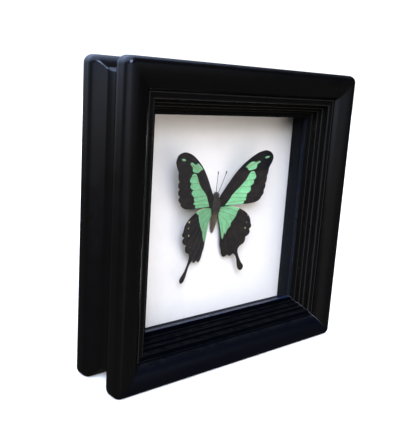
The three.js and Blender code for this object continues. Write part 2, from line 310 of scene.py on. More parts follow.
def millimetre_position(sheet: NodeSheet, scale: object) -> bpy.types.NodeSocket:
    """The shaded point's place in millimetres, times a scale.

    Args:
        sheet: The tree to add to.
        scale: Repeats for each millimetre.

    Returns:
        The scaled position's socket.
    """
    place = sheet.add("ShaderNodeTexCoord").outputs["Object"]
    inputs = {0: place, "Scale": sheet.times(scale, 1.0 / MM)}
    return sheet.add("ShaderNodeVectorMath", inputs, operation="SCALE").outputs[0]


def cloud_pattern(
    sheet: NodeSheet, size: object, detail: float, roughness: float, lie: object = None
) -> bpy.types.NodeSocket:
    """A cloudy pattern.

    Args:
        sheet: The tree to add to.
        size: Its size in millimetres.
        detail: How many finer layers it has.
        roughness: How strong the finer layers are.
        lie: How far it is squeezed along each axis, if it is.

    Returns:
        The pattern's socket, with values around one half.
    """
    place = millimetre_position(sheet, sheet.math("DIVIDE", 1.0, size))
    if lie is not None:
        place = sheet.add("ShaderNodeVectorMath", {0: place, 1: lie}, operation="MULTIPLY").outputs[0]
    inputs = {"Vector": place, "Scale": 1.0, "Detail": detail, "Roughness": roughness}
    return sheet.add("ShaderNodeTexNoise", inputs).outputs["Fac"]


def draw_mottle(sheet: NodeSheet, start: bpy.types.NodeOutputs) -> bpy.types.NodeSocket:
    """Cloudy variation of a surface, as a value around one half.

    Args:
        sheet: The group's nodes.
        start: The group's inputs.

    Returns:
        The variation's socket.
    """
    centred = sheet.math("SUBTRACT", cloud_pattern(sheet, start["Size"], detail=4.0, roughness=0.6), 0.5)
    return sheet.math("ADD", sheet.times(centred, start["Contrast"]), 0.5, clamp=True)


def draw_grain(sheet: NodeSheet, start: bpy.types.NodeOutputs) -> bpy.types.NodeSocket:
    """Fibres that lie one way.

    Args:
        sheet: The group's nodes.
        start: The group's inputs.

    Returns:
        The fibres' socket.
    """
    return cloud_pattern(sheet, start["Size"], detail=5.0, roughness=0.55, lie=start["Lie"])


def draw_edge_wear(sheet: NodeSheet, start: bpy.types.NodeOutputs) -> bpy.types.NodeSocket:
    """A broken mask along sharp outside edges.

    Args:
        sheet: The group's nodes.
        start: The group's inputs.

    Returns:
        The mask's socket.
    """
    sharp = sheet.add("ShaderNodeNewGeometry").outputs["Pointiness"]
    gaps = sheet.ramp(cloud_pattern(sheet, start["Size"], detail=3.0, roughness=0.7), *WEAR_GAPS)
    worn = sheet.times(sheet.ramp(sharp, *WORN_SHARPNESS), gaps)
    return sheet.math("MULTIPLY", worn, start["Amount"], clamp=True)


def draw_dust(sheet: NodeSheet, start: bpy.types.NodeOutputs) -> bpy.types.NodeSocket:
    """A thin film where a surface faces up.

    Args:
        sheet: The group's nodes.
        start: The group's inputs.

    Returns:
        The film's socket.
    """
    height = sheet.split(sheet.add("ShaderNodeNewGeometry").outputs["Normal"])["Z"]
    patches = sheet.ramp(cloud_pattern(sheet, start["Size"], detail=6.0, roughness=0.75), *DUST_PATCHES)
    lying = sheet.times(sheet.ramp(height, *DUSTY_SLOPE), patches)
    return sheet.math("MULTIPLY", lying, start["Amount"], clamp=True)


@dataclass(frozen=True)
class EffectPlan:
    """What a shared effect takes and gives, and what draws it."""

    inputs: dict[str, float | Triple]
    output: str
    draw: Callable[[NodeSheet, bpy.types.NodeOutputs], bpy.types.NodeSocket]


EFFECT_PLANS = {
    Effect.MOTTLE: EffectPlan({"Size": 2.0, "Contrast": 1.0}, "Value", draw_mottle),
    Effect.GRAIN: EffectPlan({"Lie": (1.0, 1.0, 1.0), "Size": 0.5}, "Streak", draw_grain),
    Effect.EDGE_WEAR: EffectPlan({"Amount": 0.5, "Size": 1.5}, "Mask", draw_edge_wear),
    Effect.DUST: EffectPlan({"Amount": 0.2, "Size": 6.0}, "Mask", draw_dust),
}


def effect_group(effect: Effect) -> bpy.types.ShaderNodeTree:
    """A shared effect's group, built the first time it is asked for.

    Args:
        effect: Which one.

    Returns:
        The shader node group.
    """
    found = bpy.data.node_groups.get(effect.value)
    if found:
        return found
    plan = EFFECT_PLANS[effect]
    tree = bpy.data.node_groups.new(effect.value, "ShaderNodeTree")
    for name, value in plan.inputs.items():
        kind = "NodeSocketVector" if isinstance(value, tuple) else "NodeSocketFloat"
        tree.interface.new_socket(name, in_out="INPUT", socket_type=kind).default_value = value
    tree.interface.new_socket(plan.output, in_out="OUTPUT", socket_type="NodeSocketFloat")
    sheet = NodeSheet(tree)
    start, end = sheet.add("NodeGroupInput"), sheet.add("NodeGroupOutput")
    sheet.fill(end, {plan.output: plan.draw(sheet, start.outputs)})
    return tree


# ------------------------------------------------------------------------------ finishes


class Finish:
    """What every finish shares: one material, built once, on a Principled shader."""

    title: str

    def paint(self, sheet: NodeSheet, shader: bpy.types.Node) -> None:
        """Sets the shader up.

        Args:
            sheet: The material's nodes.
            shader: Its Principled shader.
        """
        raise NotImplementedError

    def material(self) -> bpy.types.Material:
        """The finished material, built the first time it is asked for.

        Returns:
            The material.
        """
        found = bpy.data.materials.get(self.title)
        if found:
            return found
        made = bpy.data.materials.new(self.title)
        made.use_nodes = True
        made.node_tree.nodes.clear()
        sheet = NodeSheet(made.node_tree)
        shader = sheet.add("ShaderNodeBsdfPrincipled")
        sheet.add("ShaderNodeOutputMaterial", {"Surface": shader.outputs[0]})
        self.paint(sheet, shader)
        return made

    @staticmethod
    def bump(sheet: NodeSheet, shader: bpy.types.Node, height: object, depth_mm: float) -> None:
        """Feeds the shader's normal from a height.

        Args:
            sheet: The material's nodes.
            shader: Its Principled shader.
            height: The height's socket, 0 to 1.
            depth_mm: What a height of 1 measures.
        """
        inputs = {"Height": height, "Strength": 1.0, "Distance": depth_mm * MM}
        sheet.fill(shader, {"Normal": sheet.add("ShaderNodeBump", inputs).outputs[0]})


@dataclass(frozen=True)
class Coat:
    """How one part of a moulding takes its lacquer."""

    colour: Colour = (0.0014, 0.0013, 0.0013)
    worn: Colour = (0.014, 0.012, 0.011)
    roughness: float = 0.22
    gloss: float = 0.5
    relief: float = 0.0012


# Coats of the top, left and right rails. The lip's bluish colour is a painted reflection, and the lighter
# edge bands are painted highlight lines.
COATS = {
    Zone.CREST: Coat(),
    Zone.STEPS: Coat((0.0025, 0.0024, 0.0022), (0.0025, 0.0024, 0.0022), 0.3, 0.06, 0.0004),
    Zone.LIP: Coat((0.003, 0.005, 0.009), roughness=0.3, gloss=0.1, relief=0.0004),
    Zone.EDGES: Coat((0.0145, 0.0138, 0.0126), (0.0145, 0.0138, 0.0126), 0.3, 0.06, 0.0004),
}
# Coats of the bottom rail: darker and bluer than the others as painted shade, with a brighter bluish painted
# reflection on the lip.
SHADED_COATS = {
    Zone.CREST: Coat((0.0008, 0.0011, 0.0024), gloss=0.32),
    Zone.STEPS: Coat((0.0004, 0.0007, 0.0014), (0.0004, 0.0007, 0.0014), 0.3, 0.0, 0.0004),
    Zone.LIP: Coat((0.004, 0.009, 0.026), roughness=0.3, gloss=0.2, relief=0.0004),
    Zone.EDGES: Coat((0.001, 0.0016, 0.0035), (0.001, 0.0016, 0.0035), 0.3, 0.0, 0.0004),
}


@dataclass(frozen=True)
class SatinLacquer(Finish):
    """Black lacquer over wood, with the grain just showing and rubbed edges."""

    upright: bool
    # Whether the rail shows the pale line painted along the lower right mitre.
    open_mitre: bool = False
    zone: Zone = Zone.CREST
    coat: Coat = Coat()
    # The pale bluish grey painted along the lower right mitre.
    mitre_line_colour: Colour = (0.16, 0.16, 0.18)
    dust: Colour = (0.25, 0.24, 0.23)
    squeeze: float = 0.012
    # Width, extent, fading and patchiness of the pale line painted along the lower right mitre.
    mitre_line_width: float = 0.16
    mitre_line_right_of: float = 68.0
    mitre_line_below: float = 32.0
    mitre_line_fade: Point = (93.0, 80.0)
    mitre_line_patches: Point = (0.25, 0.75)
    mitre_line_faintest: float = 0.25

    @property
    def title(self) -> str:
        """The material's name."""
        way = "upright" if self.upright else "level"
        # The bottom rail's materials carry its painted shade coats under these names.
        return f"satin_lacquer_{self.zone.value}_{way}{'_open_mitre' if self.open_mitre else ''}"

    def mitre_line_mask(self, sheet: NodeSheet) -> bpy.types.NodeSocket:
        """Where a pale line is painted along the lower right mitre.

        Args:
            sheet: The material's nodes.

        Returns:
            A mask that is 1 on the line.
        """
        x, _, z = sheet.split(millimetre_position(sheet, 1.0))
        off = sheet.math("ABSOLUTE", sheet.math("SUBTRACT", x, sheet.math("SUBTRACT", HALF_WIDTH, z)))
        line = sheet.ramp(off, self.mitre_line_width, self.mitre_line_width * 0.6)
        low = sheet.math("LESS_THAN", z, self.mitre_line_below)
        right = sheet.math("GREATER_THAN", x, self.mitre_line_right_of)
        inner = sheet.ramp(x, *self.mitre_line_fade)
        cloud = sheet.effect(Effect.MOTTLE, size=5.0, contrast=2.0)
        patchy = sheet.ramp(cloud, *self.mitre_line_patches, self.mitre_line_faintest, 1.0)
        return sheet.times(sheet.times(line, low), sheet.times(right, inner), patchy)

    def paint(self, sheet: NodeSheet, shader: bpy.types.Node) -> None:
        """Lacquer, rubbed edges, a little dust and fine orange peel.

        Args:
            sheet: The material's nodes.
            shader: Its Principled shader.
        """
        coat = self.coat
        lie = (1.0, 1.0, self.squeeze) if self.upright else (self.squeeze, 1.0, 1.0)
        grain = sheet.effect(Effect.GRAIN, lie=lie, size=0.45)
        cloud = sheet.effect(Effect.MOTTLE, size=14.0, contrast=1.6)
        peel = sheet.effect(Effect.MOTTLE, size=0.7, contrast=1.0)
        wear = sheet.effect(Effect.EDGE_WEAR, amount=0.55, size=1.4)
        dust = sheet.effect(Effect.DUST, amount=0.02, size=5.0)
        colour = sheet.mix(dust, sheet.mix(wear, coat.colour, coat.worn), self.dust)
        # A pale line painted along the lower right mitre.
        if self.open_mitre:
            colour = sheet.mix(self.mitre_line_mask(sheet), colour, self.mitre_line_colour)
        roughness = sheet.around(coat.roughness, 0.03, 0.05, cloud)
        sheet.fill(shader, {"Base Color": colour, "Roughness": roughness, "Specular IOR Level": coat.gloss})
        self.bump(sheet, shader, sheet.blend(grain, 0.6, peel, 0.5), coat.relief)


@dataclass(frozen=True)
class ClearGlass(Finish):
    """Thin picture glass that lets the light through."""

    title: str = "picture_glass"
    tint: Colour = (0.99, 0.99, 0.99)
    shadow: Colour = (0.96, 0.96, 0.96)
    ior: float = 1.5

    def paint(self, sheet: NodeSheet, shader: bpy.types.Node) -> None:
        """Plain clear glass; lamps and soft light pass it unbent.

        Args:
            sheet: The material's nodes.
            shader: Its Principled shader.
        """
        plain = {"Base Color": self.tint, "Roughness": 0.0, "IOR": self.ior, "Transmission Weight": 1.0}
        sheet.fill(shader, plain)
        path = sheet.add("ShaderNodeLightPath").outputs
        unbent = sheet.math("MAXIMUM", path["Is Shadow Ray"], path["Is Diffuse Ray"])
        clear = sheet.add("ShaderNodeBsdfTransparent", {"Color": self.shadow})
        mixed = sheet.add("ShaderNodeMixShader", {0: unbent, 1: shader.outputs[0], 2: clear.outputs[0]})
        output = next(node for node in sheet.tree.nodes if node.type == "OUTPUT_MATERIAL")
        sheet.fill(output, {"Surface": mixed.outputs[0]})


@dataclass(frozen=True)
class Board(Finish):
    """Paper, card or hardboard: a fibrous matt sheet."""

    title: str
    colour: Colour
    darker: Colour
    fibre: float
    roughness: float
    relief: float
    dust: float = 0.0
    gloss: float = 0.5
    dust_colour: Colour = (0.45, 0.43, 0.4)
    shade_span: Point = (0.3, 0.7)

    def paint(self, sheet: NodeSheet, shader: bpy.types.Node) -> None:
        """Cloudy colour with short fibres on it.

        Args:
            sheet: The material's nodes.
            shader: Its Principled shader.
        """
        cloud = sheet.effect(Effect.MOTTLE, size=9.0, contrast=1.5)
        fibres = sheet.effect(Effect.GRAIN, lie=(0.35, 1.0, 1.0), size=self.fibre)
        film = sheet.effect(Effect.DUST, amount=self.dust, size=4.0)
        shade = sheet.ramp(sheet.blend(cloud, 0.5, fibres, 0.5), *self.shade_span)
        sheet.fill(shader, {
            "Base Color": sheet.mix(film, sheet.mix(shade, self.darker, self.colour), self.dust_colour),
            "Roughness": sheet.around(self.roughness, 0.06, 0.06, cloud),
            "Specular IOR Level": self.gloss,
        })
        self.bump(sheet, shader, fibres, self.relief)


@dataclass(frozen=True)
class PlatedMetal(Finish):
    """Dull plated sheet metal, scuffed and rubbed along its edges."""

    title: str
    colour: Colour
    tarnish: Colour
    roughness: float
    relief: float = 0.008
    tarnish_span: Point = (0.45, 0.8)
    rolled_span: Point = (0.3, 0.7)

    def paint(self, sheet: NodeSheet, shader: bpy.types.Node) -> None:
        """Rolled metal with tarnish in patches.

        Args:
            sheet: The material's nodes.
            shader: Its Principled shader.
        """
        cloud = sheet.effect(Effect.MOTTLE, size=3.0, contrast=2.0)
        rolled = sheet.effect(Effect.GRAIN, lie=(0.05, 1.0, 1.0), size=0.15)
        wear = sheet.effect(Effect.EDGE_WEAR, amount=0.8, size=0.8)
        patches = sheet.times(sheet.ramp(cloud, *self.tarnish_span), sheet.math("SUBTRACT", 1.0, wear))
        sheet.fill(shader, {
            "Base Color": sheet.mix(patches, self.colour, self.tarnish),
            "Metallic": 1.0,
            "Roughness": sheet.around(self.roughness, 0.08, 0.12, rolled, self.rolled_span),
        })
        self.bump(sheet, shader, rolled, self.relief)


@dataclass(frozen=True)
class WingScales(Finish):
    """Matt scales: black-brown, with green patches, brown veins and pale flecks."""

    title: str
    dark: Colour = (0.0085, 0.0065, 0.0055)
    dark_warm: Colour = (0.016, 0.011, 0.008)
    green: Colour = (0.19, 0.5, 0.25)
    green_deep: Colour = (0.145, 0.41, 0.2)
    # Scales the green as painted light: brighter on a wing that faces the key, dimmer on one turned away.
    painted_light: float = 1.0
    # Below 1, the dark scales turn darker near the tip, as painted shade.
    tip: float = 1.0
    tip_height: Point = (28.5, 31.5)
    vein: Colour = (0.16, 0.15, 0.055)
    vein_dark: Colour = (0.009, 0.0065, 0.0055)
    vein_edge: Point = (0.1, 0.34)
    vein_on_green: float = 0.78
    vein_on_dark: float = 0.5
    pale: Colour = (0.72, 0.55, 0.34)
    cream: Colour = (0.5, 0.42, 0.22)
    ragged_by: float = 0.3
    warm_span: Point = (0.3, 0.75)
    green_span: Point = (0.35, 0.65)
    roughness: Point = (0.66, 0.55)
    rows: float = 6.5
    flicker: Point = (0.86, 1.14)
    relief: float = 0.02

    def ragged(self, sheet: NodeSheet, marking: str, soft: float) -> bpy.types.NodeSocket:
        """Masks a marking with the ragged border that scales give.

        Args:
            sheet: The material's nodes.
            marking: The attribute with its signed distance in millimetres, above 0 inside.
            soft: Half the width of the border.

        Returns:
            The mask's socket.
        """
        rough = sheet.effect(Effect.MOTTLE, size=0.3, contrast=1.4)
        shift = sheet.times(sheet.math("SUBTRACT", rough, 0.5), self.ragged_by)
        return sheet.ramp(sheet.math("ADD", sheet.attribute(marking), shift), -soft, soft)

    def ground(
        self, sheet: NodeSheet, cloud: object, on_green: object, streak: object
    ) -> bpy.types.NodeSocket:
        """The dark scales, darker near the tip as painted shade where asked, and the green ones, scaled per
        wing as painted light.

        Args:
            sheet: The material's nodes.
            cloud: A slow variation.
            on_green: The green patches' mask.
            streak: A fine variation.

        Returns:
            The colour's socket.
        """
        dark = sheet.mix(sheet.ramp(cloud, *self.warm_span), self.dark, self.dark_warm)
        # Painted shade: where asked, the dark scales turn darker near the tip.
        low, high = (HALF_WIDTH + height for height in self.tip_height)
        height = sheet.split(millimetre_position(sheet, 1.0))["Z"]
        tip_painted_shade = tuple(self.tip * part for part in self.dark)
        dark = sheet.mix(sheet.ramp(height, low, high, 0.0, float(self.tip < 1.0)), dark, tip_painted_shade)
        # Painted light: the green scaled by how the wing faces the key.
        deep, light = (tuple(self.painted_light * part for part in shade) for shade in (self.green_deep, self.green))
        varied = sheet.ramp(sheet.blend(streak, 0.6, cloud, 0.4), *self.green_span)
        green = sheet.mix(varied, deep, light)
        return sheet.mix(on_green, dark, green)

    def paint(self, sheet: NodeSheet, shader: bpy.types.Node) -> None:
        """Patches by the distances stored on the mesh, over rows of fine scales.

        Args:
            sheet: The material's nodes.
            shader: Its Principled shader.
        """
        inputs = {"Vector": millimetre_position(sheet, 1.0), "Scale": self.rows, "Randomness": 0.8}
        rows = sheet.add("ShaderNodeTexVoronoi", inputs).outputs
        shade = sheet.add("ShaderNodeSeparateColor", {0: rows["Color"]}).outputs[0]
        cloud = sheet.effect(Effect.MOTTLE, size=4.5, contrast=2.0)
        streak = sheet.effect(Effect.GRAIN, lie=(0.15, 1.0, 1.0), size=0.5)
        on_green = self.ragged(sheet, "green", soft=0.1)
        vein = sheet.ramp(sheet.attribute("vein"), *self.vein_edge, 1.0, 0.0)
        colour = self.ground(sheet, cloud, on_green, streak)
        for mask, paint in (
            (sheet.times(vein, on_green, self.vein_on_green), self.vein),
            (sheet.times(vein, sheet.math("SUBTRACT", 1.0, on_green), self.vein_on_dark), self.vein_dark),
            (self.ragged(sheet, "cream", soft=0.25), self.cream),
            (self.ragged(sheet, "pale", soft=0.12), self.pale),
        ):
            colour = sheet.mix(mask, colour, paint)
        flicker = {"Color": colour, "Value": sheet.ramp(shade, 0.0, 1.0, *self.flicker)}
        sheet.fill(shader, {
            "Base Color": sheet.add("ShaderNodeHueSaturation", flicker).outputs[0],
            "Roughness": sheet.ramp(on_green, 0.0, 1.0, *self.roughness),
            "Specular IOR Level": 0.25,
            "Sheen Weight": 0.06,
            "Sheen Roughness": 0.4,
        })
        self.bump(sheet, shader, sheet.math("ADD", rows["Distance"], sheet.times(streak, 0.4)), self.relief)


@dataclass(frozen=True)
class InsectSkin(Finish):
    """The body's hard parts and hair: dark brown, lighter where the tan attribute says."""

    title: str
    colour: Colour = (0.026, 0.02, 0.014)
    tan: Colour = (0.17, 0.115, 0.06)
    roughness: float = 0.62
    relief: float = 0.03
    tan_span: Point = (0.2, 0.8)
    tan_share: Point = (0.6, 1.0)

    def paint(self, sheet: NodeSheet, shader: bpy.types.Node) -> None:
        """Mottled skin or hair.

        Args:
            sheet: The material's nodes.
            shader: Its Principled shader.
        """
        cloud = sheet.effect(Effect.MOTTLE, size=0.6, contrast=2.0)
        share = sheet.times(sheet.attribute("tan"), sheet.ramp(cloud, *self.tan_span, *self.tan_share))
        sheet.fill(shader, {
            "Base Color": sheet.mix(share, self.colour, self.tan),
            "Roughness": sheet.around(self.roughness, 0.1, 0.1, cloud),
            "Sheen Weight": 0.15,
            "Sheen Roughness": 0.45,
        })
        self.bump(sheet, shader, cloud, self.relief)


@dataclass(frozen=True)
class StageFinish(Finish):
    """A plain pale studio surface."""

    title: str
    colour: Colour
    glow: float

    def paint(self, sheet: NodeSheet, shader: bpy.types.Node) -> None:
        """Matt pale paper that glows a little, so that it stays white.

        Args:
            sheet: The material's nodes.
            shader: Its Principled shader.
        """
        cloud = sheet.effect(Effect.MOTTLE, size=60.0, contrast=0.4)
        lighter = tuple(min(1.0, share * 1.03) for share in self.colour)
        sheet.fill(shader, {
            "Base Color": sheet.mix(cloud, self.colour, lighter),
            "Roughness": 0.9,
            "Specular IOR Level": 0.0,
            "Emission Color": (1.0, 1.0, 1.0),
            "Emission Strength": self.glow,
        })


# ------------------------------------------------------------------------------ mesh helpers


def add_piece(
    name: str, mesh: bpy.types.Mesh, slot: Slot, finish: Finish, replaced: Sequence[str] = ()
) -> bpy.types.Object:
    """Adds a dressed piece that rides with the frame.

    Args:
        name: The piece's name.
        mesh: Its mesh, in metres in the row frame.
        slot: Not used.
        finish: Its finish.
        replaced: The CAD nodes that it stands for.

    Returns:
        The new object.
    """
    piece = bpy.data.objects.new(name, mesh)
    bpy.context.scene.collection.objects.link(piece)
    mesh.materials.append(finish.material())
    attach(piece, BODY)
    if replaced:
        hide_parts(*replaced)
    return piece


def mesh_from(
    name: str, points: Sequence[Vector], faces: Sequence[Sequence[int]], crease: float = 42.0
) -> bpy.types.Mesh:
    """Makes a smooth-shaded mesh from millimetre points.

    Args:
        name: The mesh's name.
        points: Its corners, in millimetres.
        faces: Its faces, as corner numbers.
        crease: The angle in degrees from which an edge stays sharp.

    Returns:
        The mesh, in metres.
    """
    mesh = bpy.data.meshes.new(name)
    mesh.from_pydata([tuple(point * MM) for point in points], [], [tuple(face) for face in faces])
    mesh.validate()
    mesh.polygons.foreach_set("use_smooth", [True] * len(mesh.polygons))
    mesh.set_sharp_from_angle(angle=math.radians(crease))
    return mesh


def face_outwards(mesh: bpy.types.Mesh, merge: float = 0.0) -> None:
    """Turns every face of a closed mesh outwards.

    Args:
        mesh: The mesh, in metres.
        merge: How close two corners are to be made one, in millimetres; 0 joins none.
    """
    work = bmesh.new()
    work.from_mesh(mesh)
    if merge > 0:
        bmesh.ops.remove_doubles(work, verts=work.verts, dist=merge * MM)
    bmesh.ops.recalc_face_normals(work, faces=work.faces)
    work.to_mesh(mesh)
    work.free()


def tube_faces(sides: int, rings: int) -> list[list[int]]:
    """The faces of a closed tube whose corners are listed ring by ring.

    Args:
        sides: How many corners a ring has.
        rings: How many steps lead from its first ring to its last.

    Returns:
        The first end's face, those between the rings and the last end's face.
    """
    faces = [list(range(sides))]
    for first in range(0, rings * sides, sides):
        for side in range(sides):
            after = (side + 1) % sides
            faces.append([first + side, first + after, first + sides + after, first + sides + side])
    faces.append(list(range(rings * sides, (rings + 1) * sides))[::-1])
    return faces


def store(mesh: bpy.types.Mesh, name: str, values: Sequence[float]) -> None:
    """Stores one number for each corner of a mesh.

    Args:
        mesh: The mesh.
        name: The attribute's name.
        values: One value a corner.
    """
    attribute = mesh.attributes.new(name, "FLOAT", "POINT")
    attribute.data.foreach_set("value", np.asarray(values, dtype=np.float32))


def through(points: Sequence[Point], steps: int) -> list[Point]:
    """Points along a smooth curve that passes through the given ones.

    Args:
        points: The points to pass.
        steps: Pieces between one point and the next.

    Returns:
        The curve's points, first and last included.
    """
    curve = [points[0]]
    last = len(points) - 1
    for index in range(last):
        before, start = points[max(index - 1, 0)], points[index]
        end, after = points[index + 1], points[min(index + 2, last)]
        for step in range(1, steps + 1):
            t = step / steps
            curve.append(tuple(
                0.5 * (2 * b + (c - a) * t + (2 * a - 5 * b + 4 * c - d) * t * t
                       + (3 * b - a - 3 * c + d) * t ** 3)
                for a, b, c, d in zip(before, start, end, after)
            ))
    return curve


def closed_outline(stretches: Sequence[Sequence[Point]], steps: int = 6) -> np.ndarray:
    """A closed outline of smooth stretches that meet in corners.

    Args:
        stretches: The stretches' points; each starts where the last one ended.
        steps: Pieces between one point and the next.

    Returns:
        The outline's points, one row each.
    """
    outline = list(stretches[0][:1])
    for stretch in stretches:
        lead = [outline[-1], *(p for p in stretch if p != outline[-1])]
        outline += through(lead, steps)[1:]
    return np.array(outline)


def resample(outline: np.ndarray, spacing: float, closed: bool = True) -> np.ndarray:
    """Even steps along an outline.

    Args:
        outline: The outline's points.
        spacing: The wanted step.
        closed: Whether its end joins its start.

    Returns:
        The evenly spaced points.
    """
    path = np.vstack([outline, outline[:1]]) if closed else outline
    lengths = np.hypot(*np.diff(path, axis=0).T)
    along = np.concatenate([[0.0], np.cumsum(lengths)])
    count = max(3, round(along[-1] / spacing))
    stops = np.linspace(0.0, along[-1], count + 1)
    if closed:
        stops = stops[:-1]
    return np.stack([np.interp(stops, along, path[:, axis]) for axis in (0, 1)], axis=1)


def distance_to_path(points: np.ndarray, path: np.ndarray) -> np.ndarray:
    """How far points lie from a line of straight pieces.

    Args:
        points: The points, one row each.
        path: The line's corners.

    Returns:
        One distance a point.
    """
    start, run = path[:-1], np.diff(path, axis=0)
    length = np.maximum((run ** 2).sum(axis=1), 1e-12)
    offset = points[:, None, :] - start[None, :, :]
    share = np.clip((offset * run).sum(axis=2) / length, 0.0, 1.0)
    gap = offset - share[..., None] * run
    return np.sqrt((gap ** 2).sum(axis=2).min(axis=1))


def inside_outline(points: np.ndarray, outline: np.ndarray) -> np.ndarray:
    """Which points lie inside a closed outline.

    Args:
        points: The points, one row each.
        outline: The outline's corners.

    Returns:
        True for each point inside.
    """
    start, end = outline, np.roll(outline, -1, axis=0)
    x, z = points[:, None, 0], points[:, None, 1]
    spans = (start[:, 1] > z) != (end[:, 1] > z)
    rise = np.where(end[:, 1] == start[:, 1], 1e-9, end[:, 1] - start[:, 1])
    crossing = start[:, 0] + (z - start[:, 1]) * (end[:, 0] - start[:, 0]) / rise
    return (spans & (x < crossing)).sum(axis=1) % 2 == 1


def signed_distance(points: np.ndarray, outline: np.ndarray) -> np.ndarray:
    """Distance to a closed outline, above 0 inside it.

    Args:
        points: The points, one row each.
        outline: The outline's corners.

    Returns:
        One signed distance a point.
    """
    distance = distance_to_path(points, np.vstack([outline, outline[:1]]))
    return np.where(inside_outline(points, outline), distance, -distance)


# ------------------------------------------------------------------------------ the frame's mouldings


class SectionPath:
    """A moulding's section, drawn as (inset, depth) points from lines and curves."""

    def __init__(self, start: Point) -> None:
        """Starts the section.

        Args:
            start: Its first point.
        """
        self.points: list[Point] = [start]

    def line(self, *ends: Point) -> None:
        """Runs straight to each point in turn.

        Args:
            *ends: The points.
        """
        self.points += ends

    def arc(self, centre: Point, radii: Point, start: float, end: float, steps: int = 14) -> None:
        """Adds an arc of an ellipse.

        Args:
            centre: Its centre.
            radii: Its radii along inset and depth.
            start: Its first angle in degrees.
            end: Its last angle in degrees.
            steps: How many straight pieces it gets.
        """
        for step in range(steps + 1):
            angle = math.radians(start + (end - start) * step / steps)
            across, deep = radii[0] * math.cos(angle), radii[1] * math.sin(angle)
            self.points.append((centre[0] + across, centre[1] + deep))

    def bezier(self, first: Point, second: Point, end: Point, steps: int = 14) -> None:
        """Adds a curve with two control points.

        Args:
            first: The control point near the start.
            second: The control point near the end.
            end: Where it ends.
            steps: How many straight pieces it gets.
        """
        start = self.points[-1]
        for step in range(1, steps + 1):
            t = step / steps
            weights = ((1 - t) ** 3, 3 * t * (1 - t) ** 2, 3 * t * t * (1 - t), t ** 3)
            corners = (start, first, second, end)
            self.points.append(tuple(sum(w * c[axis] for w, c in zip(weights, corners)) for axis in (0, 1)))

    def softened(self, radius: float, limit: float = 24.0, share: float = 0.45) -> list[Point]:
        """The closed section with each sharp corner rounded off.

        Args:
            radius: How far from a corner its rounding starts.
            limit: The turn in degrees from which a corner counts as sharp.
            share: How much of a short flat one rounding may take.

        Returns:
            The softened points.
        """
        points = [Vector(p) for p in self.points]
        points = [p for p, before in zip(points, [points[-1], *points[:-1]]) if (p - before).length > 1e-4]
        soft: list[Point] = []
        for index, corner in enumerate(points):
            before = points[index - 1] - corner
            after = points[(index + 1) % len(points)] - corner
            turn = math.degrees((-before).angle(after))
            if turn < limit:
                soft.append(tuple(corner))
                continue
            first = corner + before.normalized() * min(radius, before.length * share)
            last = corner + after.normalized() * min(radius, after.length * share)
            for t in (0.0, 0.33, 0.67, 1.0):
                soft.append(tuple((1 - t) ** 2 * first + 2 * t * (1 - t) * corner + t * t * last))
        return self.guarded(soft)

    @staticmethod
    def guarded(points: Sequence[Point], guard: float = 0.2, longest: float = 1.2) -> list[Point]:
        """Adds a point near each end of a long flat, so that its shading stays flat.

        Args:
            points: The closed section.
            guard: How far from the flat's ends the added points lie.
            longest: The length from which a flat gets them.

        Returns:
            The section with the added points.
        """
        made: list[Point] = []
        for here, there in zip(points, [*points[1:], points[0]]):
            made.append(here)
            run = Vector(there) - Vector(here)
            if run.length > longest:
                step = run.normalized() * guard
                made += [tuple(Vector(here) + step), tuple(Vector(there) - step)]
        return made


